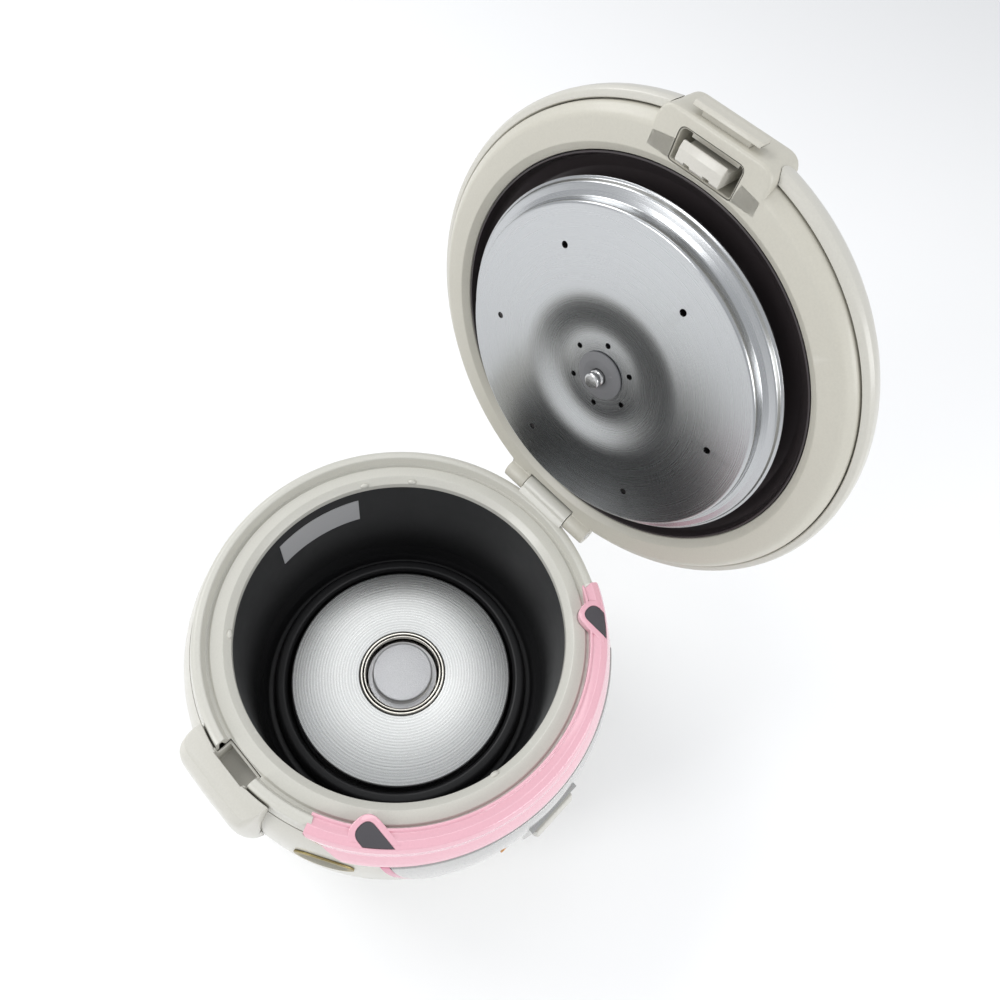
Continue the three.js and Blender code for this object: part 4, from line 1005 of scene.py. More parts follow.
BADGE_HEIGHT = 150
badge_turns = [2 * math.pi * k / 64 for k in range(64)]
oval_line = [(19 * math.cos(a), BADGE_HEIGHT + 9 * math.sin(a)) for a in badge_turns]
plug = pulled("plug", oval_line, -170, -110, "Y")
plug.data.transform(Matrix.Rotation(math.radians(-60), 4, "Z"))
badge = shaped(
    face_band("oval_badge_stamped", BADGE_HEIGHT - 12, BADGE_HEIGHT + 12, GAP, 1.4, 0), plug, "INTERSECT"
)
fitted(edged(badge, 0.25), "cooker", ["oval_badge"], gilt)

# ---- Well liner ----
# A deep-drawn aluminium can with a black satin coating. Its floor has a raised ring round the
# heating plate, and its top edge hangs under the lip.

coating = plastic("liner_coating", (0.014, 0.014, 0.015), (0.02, 0.02, 0.021), 0.46, 700, 0.25, 0.05)
WELL_RADIUS = 108.4
PLATE_RADIUS = 84
PLATE_TOP = LIP - 107
FLOOR_TOP = LIP - 126
liner = turned(
    "well_liner_drawn",
    [
        (WELL_RADIUS, LIP - 6.3, 0.3),
        (WELL_RADIUS, PLATE_TOP + 4, 6),
        (WELL_RADIUS - 2.4, PLATE_TOP - 8, 6),
        (WELL_RADIUS - 6, FLOOR_TOP + 5.6, 3),
        (PLATE_RADIUS + 13.5, FLOOR_TOP + 5, 2),
        (PLATE_RADIUS + 12.6, PLATE_TOP - 3, 4),
        (PLATE_RADIUS + 10.6, PLATE_TOP + 0.2, 3.5),
        (PLATE_RADIUS + 4.6, PLATE_TOP + 0.6, 2),
        (PLATE_RADIUS + 3, PLATE_TOP - 3, 2),
        (PLATE_RADIUS + 2.4, FLOOR_TOP, 1.5),
        (33, FLOOR_TOP, 0.4),
        (33, FLOOR_TOP - 1.2, 0.4),
        (PLATE_RADIUS + 3.6, FLOOR_TOP - 1.2, 2),
        (PLATE_RADIUS + 4.6, PLATE_TOP - 4, 2),
        (PLATE_RADIUS + 6, PLATE_TOP - 0.7, 2),
        (PLATE_RADIUS + 8.5, PLATE_TOP - 0.7, 2),
        (PLATE_RADIUS + 10.8, PLATE_TOP - 4, 2),
        (PLATE_RADIUS + 12.4, FLOOR_TOP + 3.8, 2),
        (WELL_RADIUS - 5, FLOOR_TOP + 4.4, 3),
        (WELL_RADIUS - 1.2, PLATE_TOP - 8.6, 5),
        (WELL_RADIUS + 1.2, PLATE_TOP + 4, 5),
        (WELL_RADIUS + 1.2, LIP - 7.5, 0.6),
        (WELL_RADIUS + 6, LIP - 7.5, 0.3),
        (WELL_RADIUS + 6, LIP - 6.3, 0.3),
    ],
    sides=256,
    arc=6,
)
fitted(liner, "cooker", ["well_liner"], coating)

# ---- Wall label ----
# A brushed silver film label stuck on the well's wall. It is left blank.

film, tree, shader = shader_of("label_film")
spot = wired(tree, "ShaderNodeTexCoord").outputs["Object"]
rows = wired(tree, "ShaderNodeMapping", {"Vector": spot, "Scale": (40, 40, 900)})
hair = wired(tree, "ShaderNodeTexNoise", {"Vector": rows.outputs[0], "Scale": 3.0, "Detail": 4.0})
print_grey = wired(
    tree,
    "ShaderNodeMix",
    {"Factor": hair.outputs["Fac"], 6: (0.52, 0.52, 0.53, 1), 7: (0.62, 0.62, 0.63, 1)},
    data_type="RGBA",
)
tree.links.new(print_grey.outputs[2], shader.inputs["Base Color"])
shader.inputs["Metallic"].default_value = 0.3
gloss = wired(tree, "ShaderNodeMapRange", {"Value": hair.outputs["Fac"], "To Min": 0.3, "To Max": 0.5})
tree.links.new(gloss.outputs["Result"], shader.inputs["Roughness"])
label = turned(
    "wall_label_film",
    [(107.6, LIP - 45), (108.1, LIP - 45), (108.1, LIP - 17), (107.6, LIP - 17)],
    sides=360,
    start=67,
    end=102,
)
fitted(label, "cooker", ["wall_label"], film)

# ---- Heating plate ----
# A thick cast aluminium disc, faced on a lathe. The tool leaves fine concentric rings, which
# the shared group draws for every turned or spun metal piece.

MARK_PITCH = 0.0022
turned_metal, given, out = surface_group(
    "turned_metal",
    [
        ("Position", "NodeSocketVector", (0, 0, 0)),
        ("Colour", "NodeSocketColor", (0.8, 0.8, 0.8, 1)),
        ("Pitch", "NodeSocketFloat", 0.001),
        ("Mark Depth", "NodeSocketFloat", 0.3),
        ("Mark Tone", "NodeSocketFloat", 0.1),
        ("Low Roughness", "NodeSocketFloat", 0.2),
        ("High Roughness", "NodeSocketFloat", 0.35),
    ],
    [("Colour", "NodeSocketColor"), ("Roughness", "NodeSocketFloat"), ("Normal", "NodeSocketVector")],
)
flat_place = wired(
    turned_metal,
    "ShaderNodeVectorMath",
    {0: given.outputs["Position"], 1: (1, 1, 0)},
    operation="MULTIPLY",
)
reach = wired(turned_metal, "ShaderNodeVectorMath", {0: flat_place.outputs[0]}, operation="LENGTH")
wobble = wired(
    turned_metal,
    "ShaderNodeTexNoise",
    {"Vector": given.outputs["Position"], "Scale": 30.0, "Detail": 2.0},
)
waver = wired(turned_metal, "ShaderNodeMath", {0: wobble.outputs["Fac"], 1: 0.0004}, operation="MULTIPLY")
turns = sum_of(
    turned_metal,
    "DIVIDE",
    sum_of(turned_metal, "ADD", reach.outputs["Value"], waver.outputs[0]),
    given.outputs["Pitch"],
)
groove = sum_of(turned_metal, "PINGPONG", turns, 0.5)
row = wired(turned_metal, "ShaderNodeCombineXYZ", {"X": sum_of(turned_metal, "MULTIPLY", turns, 1.7)})
uneven = wired(turned_metal, "ShaderNodeTexNoise", {"Vector": row.outputs[0], "Scale": 1.0, "Detail": 3.0})
specks = wired(
    turned_metal,
    "ShaderNodeTexNoise",
    {"Vector": given.outputs["Position"], "Scale": 1800.0, "Detail": 2.0},
)
depth = sum_of(turned_metal, "MULTIPLY", sum_of(turned_metal, "ADD", groove, uneven.outputs["Fac"]), 1.0)
speckling = sum_of(turned_metal, "MULTIPLY", specks.outputs["Fac"], 0.5)
bright = wired(
    turned_metal,
    "ShaderNodeMapRange",
    {
        "Value": sum_of(turned_metal, "ADD", depth, speckling),
        "From Min": 0.4,
        "From Max": 1.5,
        "To Min": sum_of(turned_metal, "SUBTRACT", 1.0, given.outputs["Mark Tone"]),
        "To Max": 1.0,
    },
)
metal_tone = wired(
    turned_metal,
    "ShaderNodeVectorMath",
    {0: given.outputs["Colour"], "Scale": bright.outputs["Result"]},
    operation="SCALE",
)
turned_metal.links.new(metal_tone.outputs[0], out.inputs["Colour"])
mark_rough = wired(
    turned_metal,
    "ShaderNodeMapRange",
    {
        "Value": uneven.outputs["Fac"],
        "From Min": 0.3,
        "From Max": 0.7,
        "To Min": given.outputs["Low Roughness"],
        "To Max": given.outputs["High Roughness"],
    },
)
turned_metal.links.new(mark_rough.outputs["Result"], out.inputs["Roughness"])
ridges = wired(
    turned_metal,
    "ShaderNodeBump",
    {"Height": depth, "Strength": given.outputs["Mark Depth"], "Distance": 0.0001},
)
turned_metal.links.new(ridges.outputs["Normal"], out.inputs["Normal"])


def metal(name, colour, pitch, depth, tone, low, high, centre=None, axis=None, grain=0.0, turn=0.0):
    """A lathe-turned or brushed metal. The centre and turn put its rings about the piece's axis."""
    material, tree, shader = shader_of(name)
    spot = wired(tree, "ShaderNodeTexCoord").outputs["Object"]
    if centre:
        spot = wired(
            tree,
            "ShaderNodeMapping",
            {"Vector": spot, "Location": centre, "Rotation": (0, turn, 0)},
            vector_type="TEXTURE",
        ).outputs[0]
    detail = wired(
        tree,
        "ShaderNodeGroup",
        {
            "Position": spot,
            "Colour": (*colour, 1),
            "Pitch": pitch,
            "Mark Depth": depth,
            "Mark Tone": tone,
            "Low Roughness": low,
            "High Roughness": high,
        },
        node_tree=turned_metal,
    )
    tree.links.new(detail.outputs["Colour"], shader.inputs["Base Color"])
    tree.links.new(detail.outputs["Roughness"], shader.inputs["Roughness"])
    tree.links.new(detail.outputs["Normal"], shader.inputs["Normal"])
    shader.inputs["Metallic"].default_value = 1.0
    if grain:
        shader.inputs["Anisotropic"].default_value = grain
        shader.inputs["Anisotropic Rotation"].default_value = 0.25
        tangent = wired(tree, "ShaderNodeTangent", direction_type="RADIAL", axis=axis)
        tree.links.new(tangent.outputs[0], shader.inputs["Tangent"])
    return material


plate_metal = metal(
    "plate_turned_aluminium", (0.72, 0.73, 0.72), MARK_PITCH, 0.12, 0.45, 0.24, 0.32, axis="Z", grain=0.6
)
plate = turned(
    "heating_plate_turned",
    [
        (33, PLATE_TOP, 0.8),
        (PLATE_RADIUS, PLATE_TOP, 1.4),
        (PLATE_RADIUS, PLATE_TOP - 8, 1),
        (33, PLATE_TOP - 8, 0.4),
    ],
    sides=256,
)
fitted(plate, "cooker", ["heating_plate"], plate_metal)

# ---- Thermostat ----
# A sprung aluminium cap in a steel cup, with a second steel ring round the cup. The cap's top
# is shot-blasted, so it sparkles; the rings are drawn and polished.

ring_steel = metal("thermostat_polished_steel", (0.78, 0.75, 0.68), 0.0006, 0.1, 0.08, 0.12, 0.2)
outer_ring = turned(
    "thermostat_ring_drawn",
    [
        (30.6, PLATE_TOP + 0.8, 0.5),
        (32.6, PLATE_TOP + 0.8, 0.9),
        (32.6, PLATE_TOP - 10, 0.2),
        (30.6, PLATE_TOP - 10, 0.2),
    ],
    sides=128,
)
fitted(outer_ring, "cooker", ["thermostat_ring"], ring_steel)
cup_floor = PLATE_TOP - 33
cup = turned(
    "thermostat_housing_drawn",
    [
        (28.2, PLATE_TOP + 1.2, 0.6),
        (29.8, PLATE_TOP + 1.2, 0.7),
        (29.8, cup_floor - 1.5, 1.5),
        (6, cup_floor - 1.5, 0.3),
        (6, cup_floor, 0.3),
        (28.2, cup_floor, 1),
    ],
    sides=128,
)
fitted(cup, "cooker", ["thermostat_housing"], ring_steel)

blasted, tree, shader = shader_of("cap_shot_blasted")
spot = wired(tree, "ShaderNodeTexCoord").outputs["Object"]
dimples = wired(tree, "ShaderNodeTexVoronoi", {"Vector": spot, "Scale": 1100.0, "Randomness": 1.0})
fine = wired(tree, "ShaderNodeTexNoise", {"Vector": spot, "Scale": 2600.0, "Detail": 2.0})
tone = wired(
    tree,
    "ShaderNodeMapRange",
    {"Value": fine.outputs["Fac"], "From Min": 0.3, "From Max": 0.7, "To Min": 0.82, "To Max": 1.0},
)
cap_tint = wired(
    tree,
    "ShaderNodeVectorMath",
    {0: (0.92, 0.92, 0.93), "Scale": tone.outputs["Result"]},
    operation="SCALE",
)
tree.links.new(cap_tint.outputs[0], shader.inputs["Base Color"])
matt = wired(
    tree,
    "ShaderNodeMapRange",
    {"Value": dimples.outputs["Distance"], "To Min": 0.42, "To Max": 0.6},
)
tree.links.new(matt.outputs["Result"], shader.inputs["Roughness"])
shader.inputs["Metallic"].default_value = 0.9
blast = wired(
    tree,
    "ShaderNodeBump",
    {"Height": dimples.outputs["Distance"], "Strength": 0.5, "Distance": 0.0003},
)
tree.links.new(blast.outputs["Normal"], shader.inputs["Normal"])
CAP_TOP = PLATE_TOP + 3
cap = turned(
    "thermostat_cap_blasted",
    [
        (0, CAP_TOP),
        (23, CAP_TOP, 1.8),
        (23, CAP_TOP - 8, 0.6),
        (26.6, CAP_TOP - 8, 0.5),
        (26.6, CAP_TOP - 9.2, 0.5),
        (21.8, CAP_TOP - 9.2, 0.4),
        (21.8, CAP_TOP - 1.6, 0.6),
        (0, CAP_TOP - 1.6),
    ],
    sides=128,
)
fitted(cap, "thermostat_plunger", ["thermostat_cap"], blasted)

coil, given, out = geometry_tree(
    "coil_spring",
    [
        ("Turns", "NodeSocketFloat", 4.0),
        ("Coil Radius", "NodeSocketFloat", 0.02),
        ("Coil Height", "NodeSocketFloat", 0.02),
        ("Foot Height", "NodeSocketFloat", 0.0),
        ("Wire Radius", "NodeSocketFloat", 0.001),
        ("Finish", "NodeSocketMaterial", None),
    ],
)
path = wired(
    coil,
    "GeometryNodeCurveSpiral",
    {
        "Resolution": 40,
        "Rotations": given.outputs["Turns"],
        "Start Radius": given.outputs["Coil Radius"],
        "End Radius": given.outputs["Coil Radius"],
        "Height": given.outputs["Coil Height"],
    },
)
rise = wired(coil, "ShaderNodeCombineXYZ", {"Z": given.outputs["Foot Height"]})
stood = wired(coil, "GeometryNodeTransform", {"Geometry": path.outputs[0], "Translation": rise.outputs[0]})
section = wired(
    coil,
    "GeometryNodeCurvePrimitiveCircle",
    {"Resolution": 10, "Radius": given.outputs["Wire Radius"]},
)
tube = wired(
    coil,
    "GeometryNodeCurveToMesh",
    {"Curve": stood.outputs[0], "Profile Curve": section.outputs[0], "Fill Caps": True},
)
whole = wired(coil, "GeometryNodeRealizeInstances", {"Geometry": tube.outputs[0]})
painted = wired(
    coil,
    "GeometryNodeSetMaterial",
    {"Geometry": whole.outputs[0], "Material": given.outputs["Finish"]},
)
coil.links.new(painted.outputs[0], out.inputs["Geometry"])

spring_low, spring_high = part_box("thermostat_spring")
spring_steel = metal("spring_steel", (0.62, 0.62, 0.63), 0.0004, 0.1, 0.15, 0.18, 0.3)
spring = grown(
    "thermostat_spring_wound",
    coil,
    Turns=4.0,
    Coil_Radius=0.0252,
    Coil_Height=spring_high.z - spring_low.z - 0.0016,
    Foot_Height=spring_low.z + 0.0008,
    Wire_Radius=0.0008,
    Finish=spring_steel,
)
fitted(spring, "cooker", ["thermostat_spring"], spring_steel)
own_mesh(spring)

# ---- Latch housing on the body ----
# An ivory moulding with a full round nose, clipped to the shell at the left. It holds the cup
# and the keeper edge that the lid's catch hooks under.

LATCH_HALF = 32
LATCH_TOP = LIP + 7.6
LATCH_FOOT = LIP - 66


def barrel_blank(name, clearance):
    heights = [SHELL_FOOT + (SHOULDER - SHELL_FOOT) * k / 14 for k in range(15)]
    wall = [(barrel_radius(z) + clearance, z) for z in heights]
    return turned(
        name,
        [
            (0, SHELL_FOOT),
            *wall,
            (SHOULDER_RADIUS + clearance - 1.6, LIP),
            (132 + clearance - 0.6, RIM + 12),
            (0, RIM + 12),
        ],
        sides=256,
    )


latch_rows = []
for k in range(25):
    t = k / 24
    z = LATCH_TOP + (LATCH_FOOT - LATCH_TOP) * t
    nose = 150.6 - 4.2 * abs(2 * t - 0.95) ** 2.2 - 4.5 * max(0, t - 0.8) / 0.2
    if t < 0.12:
        nose -= 3.8 * (1 - math.sqrt(max(0, 1 - (1 - t / 0.12) ** 2)))
    latch_rows.append((z, nose))
work = bmesh.new()
rings = []
for z, nose in latch_rows:
    outline = rounded_outline(
        [
            (-118, -LATCH_HALF),
            (-nose, -LATCH_HALF, 11),
            (-nose - 0.6, 0),
            (-nose, LATCH_HALF, 11),
            (-118, LATCH_HALF),
        ],
        arc=8,
    )
    rings.append([work.verts.new((x * MM, y * MM, z * MM)) for x, y in outline])
for a, b in zip(rings, rings[1:]):
    for k in range(len(a)):
        n = (k + 1) % len(a)
        work.faces.new((a[k], a[n], b[n], b[k]))
work.faces.new(rings[0])
work.faces.new(rings[-1])
latch = shaped(mesh_from("latch_housing_moulded", work), barrel_blank("body", GAP))
CUP_OUTER = 140
CUP_INNER = 121.3
CUP_HALF = NOTCH_HALF - GAP
CUP_LOW = LIP - 14
CUP_WALL = 1.7
hollow_inner = -CUP_INNER - CUP_WALL
across = (-CUP_HALF, CUP_HALF)
hollow_across = (-CUP_HALF + CUP_WALL, CUP_HALF - CUP_WALL)
latch = shaped(latch, box("cup", (-CUP_OUTER, -CUP_INNER), across, (CUP_LOW, LIP - 1)), "UNION")
keeper = box("keeper", (-CUP_OUTER, -130.8), across, (LIP - 2, LATCH_TOP - 0.02))
latch = shaped(latch, keeper, "UNION")
hollow_heights = (CUP_LOW + CUP_WALL, LIP + 6.4)
latch = shaped(
    latch, box("hollow", (-CUP_OUTER + CUP_WALL, hollow_inner), hollow_across, hollow_heights)
)
mouth = box("mouth", (-132.4, hollow_inner), hollow_across, (LIP + 6, LATCH_TOP + 1))
latch = shaped(latch, mouth)
latch = edged(latch, 0.7, 3, 50)
fitted(latch, "cooker", ["latch_housing"], ivory)

# ---- Cooking lever ----
# An ivory finger tab on a flat stem. It rocks on a steel pin behind the silver face.

lever_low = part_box("cook_lever")[0] / MM
TAB_LOW = LEVER_HEIGHT - 7
tab = pulled(
    "cook_lever_moulded",
    [
        (-141, TAB_LOW, 1),
        (-151.6, TAB_LOW, 3.5),
        (lever_low.y + 0.1, TAB_LOW + 7, 8),
        (-150.2, TAB_LOW + 16, 1.6),
        (-141, TAB_LOW + 16, 1),
    ],
    -LEVER_WIDTH / 2,
    LEVER_WIDTH / 2,
    "X",
    arc=8,
)
tab = edged(tab, 1.6, 4, 60)
PIVOT_Y = -115.6
stem = box("stem", (-9, 9), (-142, PIVOT_Y), (LEVER_HEIGHT - 3, LEVER_HEIGHT + 3))
tab = shaped(tab, stem, "UNION")
eye_line = [
    (PIVOT_Y + 3.4 * math.cos(math.pi * k / 12), LEVER_HEIGHT + 3.4 * math.sin(math.pi * k / 12))
    for k in range(24)
]
tab = shaped(tab, pulled("eye", eye_line, -9, 9, "X"), "UNION")
bore_line = [
    (PIVOT_Y + 1.8 * math.cos(math.pi * k / 10), LEVER_HEIGHT + 1.8 * math.sin(math.pi * k / 10))
    for k in range(20)
]
tab = shaped(tab, pulled("bore", bore_line, -20, 20, "X"))
fitted(tab, "lever", ["cook_lever"], ivory)

# ---- Lid frame ----
# The lid's lower moulding in satin beige: a flat ring, a deeper wall towards the liner, the
# latch housing at the front edge and two ears for the hinge pin.

OPEN_ANGLE = math.radians(97)
hinge_point = Vector((HINGE_X * MM, 0, HINGE_Z * MM))
opening = (
    Matrix.Translation(hinge_point) @ Matrix.Rotation(OPEN_ANGLE, 4, "Y") @ Matrix.Translation(-hinge_point)
)


def opened(piece):
    """A piece modelled on the closed lid, turned to where the open lid holds it."""
    piece.data.transform(opening)
    return piece


lid_beige = plastic("lid_satin", (0.56, 0.54, 0.47), (0.53, 0.51, 0.44), 0.4, 1500, 0.16, 0.3, 0.1)
LID_FACE = LIP + 8.8
HOUSING_TOP = LIP + 33
LATCH_REACH = 142
POCKET_HALF = 17
CATCH_X = -127
CATCH_Z = LIP + 27
lid_ring = turned(
    "lid_frame_moulded",
    [
        (121, LID_FACE, 1.6),
        (133.4, LID_FACE, 5),
        (137.8, LID_FACE + 4.6, 4),
        (137.8, LID_FACE + 9, 0.4),
        (135.2, LID_FACE + 9, 0.4),
        (135.2, LID_FACE + 6, 1),
        (132.5, LID_FACE + 2.8, 1),
        (122, LID_FACE + 2.8, 1),
        (118.6, LID_FACE + 6, 1),
        (116.6, LID_FACE + 6, 0.5),
        (116.6, LID_FACE + 3.4, 1.4),
    ],
    sides=256,
    arc=6,
)
for side in (-1, 1):
    y0, y1 = sorted((side * (KNUCKLE_HALF + 0.4), side * (KNUCKLE_HALF + EAR_WIDTH)))
    arm = pulled(
        "ear_arm",
        [
            (122, LID_FACE),
            (HINGE_X, LID_FACE),
            (HINGE_X, HINGE_Z + KNUCKLE_RADIUS),
            (122, HINGE_Z + KNUCKLE_RADIUS),
        ],
        y0,
        y1,
        "Y",
    )
    ear = shaped(arm, round_bar("ear", KNUCKLE_RADIUS, HINGE_X, HINGE_Z, y0, y1), "UNION")
    lid_ring = shaped(lid_ring, ear, "UNION")
knuckle_room = (
    (HINGE_X - 10, 200),
    (-KNUCKLE_HALF - 0.5, KNUCKLE_HALF + 0.5),
    (LIP - 20, HINGE_Z + KNUCKLE_RADIUS + 0.8),
)
lid_ring = shaped(lid_ring, box("knuckle_room", *knuckle_room))
lid_ring = shaped(lid_ring, round_bar("pin_hole", 2.7, HINGE_X, HINGE_Z, -60, 60, 24))


def lid_housing(name, spare):
    return pulled(
        name,
        [
            (-119.5 + spare, -LATCH_HALF - spare, 2),
            (-119.5 + spare, LATCH_HALF + spare, 2),
            (-LATCH_REACH - spare, LATCH_HALF - 1.2 + spare, 9 + spare),
            (-LATCH_REACH - spare, -LATCH_HALF + 1.2 - spare, 9 + spare),
        ],
        LID_FACE - spare,
        HOUSING_TOP + spare,
        arc=8,
    )


lid_ring = edged(lid_ring, 0.5, 3, 55)
lid_ring = shaped(lid_ring, edged(lid_housing("housing", 0), 1.5, 4, 60), "UNION")
POCKET_MOUTH = ((0, HOUSING_TOP - 2), (0.2, LID_FACE + 0.75), (0.5, LID_FACE + 0.3), (0.9, LID_FACE + 0.08))
for spare, depth in POCKET_MOUTH:
    pocket = [
        (-136 - spare, -POCKET_HALF - spare, 3 + spare),
        (-121.5 + spare, -POCKET_HALF - spare, 1 + spare),
        (-121.5 + spare, POCKET_HALF + spare, 1 + spare),
        (-136 - spare, POCKET_HALF + spare, 3 + spare),
    ]
    lid_ring = shaped(lid_ring, pulled("pocket", pocket, LID_FACE - 2, depth, arc=6))
BUTTON_HALF = 18
BUTTON_Z = LIP + 16
STEM_HALF = BUTTON_HALF - 5
hole_half = STEM_HALF + GAP
hole_heights = (BUTTON_Z - 2.5 - GAP, BUTTON_Z + 2.5 + GAP)
lid_ring = shaped(
    lid_ring, box("button_hole", (-150, -130), (-hole_half, hole_half), hole_heights)
)
lid_ring = shaped(lid_ring, round_bar("pin_bore", 1.8, CATCH_X, CATCH_Z, -20.5, 20.5, 24))
fitted(opened(lid_ring), "lid", ["lid_frame"], lid_beige, 38)

# ---- Lid top cover ----
# The domed outer skin in glossy ivory, clipped over the frame. Its rim stands proud of it all
# round, with a thin seam between the two.

EDGE_RISE = LIP + 20
DOME_HEIGHT = 46
COVER_RADIUS = 143.5
COVER_WALL = 2.4


def dome_height(radius, shrink=0.0):
    share = min(1, radius / (COVER_RADIUS - shrink))
    return EDGE_RISE + (DOME_HEIGHT - shrink) * math.sqrt(1 - share**2)


dome_turns = [math.radians(90 * (1 - k / 26)) for k in range(27)]
outside = [(COVER_RADIUS * math.sin(a), EDGE_RISE + DOME_HEIGHT * math.cos(a)) for a in dome_turns]
inside = [
    ((COVER_RADIUS - COVER_WALL) * math.sin(a), EDGE_RISE + (DOME_HEIGHT - COVER_WALL) * math.cos(a))
    for a in reversed(dome_turns)
]
cover = turned(
    "lid_top_cover_moulded",
    [
        (138.1, LID_FACE + 8, 0.3),
        (138.9, LID_FACE + 6, 0.6),
        (142.2, LID_FACE + 6.8, 1.4),
        (143.4, LID_FACE + 9, 1),
        *outside,
        *inside,
        (COVER_RADIUS - COVER_WALL - 0.3, LID_FACE + 10),
        (138.1, LID_FACE + 9.2, 0.3),
    ],
    sides=256,
)
cover = shaped(cover, lid_housing("housing_room", GAP))
cover = shaped(cover, box("knuckle_room", *knuckle_room))
cover = shaped(
    cover,
    box(
        "housing_mouth",
        (-COVER_RADIUS - 1, -LATCH_REACH + 1),
        (-LATCH_HALF + 7, LATCH_HALF - 7),
        (LIP, HOUSING_TOP + GAP),
    ),
)
for side in (-1, 1):
    y0, y1 = sorted((side * (KNUCKLE_HALF - 0.1), side * (KNUCKLE_HALF + EAR_WIDTH + GAP)))
    cover = shaped(cover, round_bar("ear_room", KNUCKLE_RADIUS + GAP, HINGE_X, HINGE_Z, y0, y1))
    cover = shaped(
        cover, box("arm_room", (122 - GAP, HINGE_X), (y0, y1), (LID_FACE, HINGE_Z + KNUCKLE_RADIUS + GAP))
    )
VENT_X = 55
vent_turns = [math.pi * k / 24 for k in range(48)]
vent_line = [(VENT_X + 11.3 * math.cos(a), 11.3 * math.sin(a)) for a in vent_turns]
cover = shaped(cover, pulled("vent_hole", vent_line, LIP + 30, LIP + 90))
fitted(opened(cover), "lid", ["lid_top_cover"], ivory, 38)

# ---- Lid liner ----
# A pressed aluminium dish with a dark brown non-stick coat, held by three screws. Its deep
# side wall shows between the frame and the inner lid.

brown, tree, shader = shader_of("lid_liner_coat")
spot = wired(tree, "ShaderNodeTexCoord").outputs["Object"]
cloud = wired(tree, "ShaderNodeTexNoise", {"Vector": spot, "Scale": 18.0, "Detail": 5.0})
dust = wired(tree, "ShaderNodeTexNoise", {"Vector": spot, "Scale": 1900.0, "Detail": 2.0})
coat_tone = wired(
    tree,
    "ShaderNodeMix",
    {"Factor": cloud.outputs["Fac"], 6: (0.036, 0.03, 0.031, 1), 7: (0.062, 0.051, 0.054, 1)},
    data_type="RGBA",
)
tree.links.new(coat_tone.outputs[2], shader.inputs["Base Color"])
coat_rough = wired(
    tree,
    "ShaderNodeMapRange",
    {"Value": cloud.outputs["Fac"], "To Min": 0.24, "To Max": 0.38},
)
tree.links.new(coat_rough.outputs["Result"], shader.inputs["Roughness"])
shader.inputs["Metallic"].default_value = 0.25
coat_bump = wired(
    tree,
    "ShaderNodeBump",
    {"Height": dust.outputs["Fac"], "Strength": 0.2, "Distance": 0.0002},
)
tree.links.new(coat_bump.outputs["Normal"], shader.inputs["Normal"])

DISH_UNDER = LIP + 22
dish = turned(
    "lid_liner_pressed",
    [
        (0, DISH_UNDER),
        (107, DISH_UNDER, 3),
        (113.6, DISH_UNDER - 3, 4),
        (115, LID_FACE + 3.6, 0.4),
        (116.2, LID_FACE + 3.6, 0.4),
        (115, DISH_UNDER - 2, 4),
        (107.6, DISH_UNDER + 1.5, 3),
        (0, DISH_UNDER + 1.5),
    ],
    sides=256,
)
dish = shaped(dish, lid_housing("housing_room", GAP))
duct_line = [(VENT_X + 9 * math.cos(a), 9 * math.sin(a)) for a in vent_turns]
dish = shaped(dish, pulled("steam_hole", duct_line, DISH_UNDER - 2, DISH_UNDER + 3))
pin_line = [(5.1 * math.cos(math.pi * k / 16), 5.1 * math.sin(math.pi * k / 16)) for k in range(32)]
dish = shaped(dish, pulled("pin_hole", pin_line, DISH_UNDER - 2, DISH_UNDER + 3))
fitted(opened(dish), "lid", ["lid_liner"], brown)

# ---- Inner lid ----
# A spun aluminium disc with a rolled, stepped rim, a shallow dished middle and twelve small
# steam holes. It pushes onto the lid pin through a rubber grommet.

DISC_LOW = LIP - 3.3
DISC_RIM_TOP = LIP + 7.5
DISC_RADIUS = 96.6
DISH_FLAT = LIP + 0.5
SHEET = 1.2
swell = []
for k in range(21):
    t = k / 20
    ease = 0.5 - 0.5 * math.cos(math.pi * t)
    swell.append((24.5 + (54 - 24.5) * t, DISH_FLAT + (DISC_LOW - DISH_FLAT) * ease))
disc = turned(
    "inner_lid_plate_spun",
    [
        (8, DISH_FLAT, 0.2),
        (22, DISH_FLAT),
        *swell,
        (58, DISC_LOW),
        (DISC_RADIUS, DISC_LOW, 1.8),
        (DISC_RADIUS + 0.7, LIP + 2.6, 1.3),
        (DISC_RADIUS + 3.4, LIP + 3.9, 1.1),
        (103.6, LIP + 4.6, 1.4),
        (DISC_RADIUS + 8.0, DISC_RIM_TOP - 0.4, 0.9),
        (105.8, DISC_RIM_TOP, 0.4),
        (105.8, DISC_RIM_TOP + SHEET, 0.4),
        (103.4, DISC_RIM_TOP + SHEET, 1),
        (102.2, LIP + 6.0, 1),
        (DISC_RADIUS + 1.6, LIP + 5.0, 1),
        (DISC_RADIUS - 0.8, LIP + 3.4, 1.2),
        (DISC_RADIUS - 1.4, DISC_LOW + SHEET, 1),
        (58, DISC_LOW + SHEET),
        *[(r, z + SHEET) for r, z in reversed(swell)],
        (8, DISH_FLAT + SHEET, 0.2),
    ],
    sides=256,
    arc=6,
)
for circle_radius, first, hole in ((0.0751, 141.2, 0.002), (0.0205, 111.5, 0.00175)):
    disc = shaped(
        disc,
        grown(
            "steam_holes",
            pegs,
            Count=6,
            Circle_Radius=circle_radius,
            First_Angle=math.radians(first),
            Peg_Radius=hole,
            Peg_Height=0.016,
            Middle_Height=LIP * MM,
            Facets=20,
        ),
    )
lid_centre = opening @ Vector((0, 0, LIP * MM))
disc_metal = metal(
    "inner_lid_spun_aluminium",
    (0.5, 0.51, 0.52),
    0.0011,
    0.03,
    0.06,
    0.24,
    0.29,
    centre=lid_centre,
    turn=OPEN_ANGLE,
    axis="X",
    grain=0.25,
)
fitted(opened(disc), "inner_lid", ["inner_lid_plate"], disc_metal, 40)

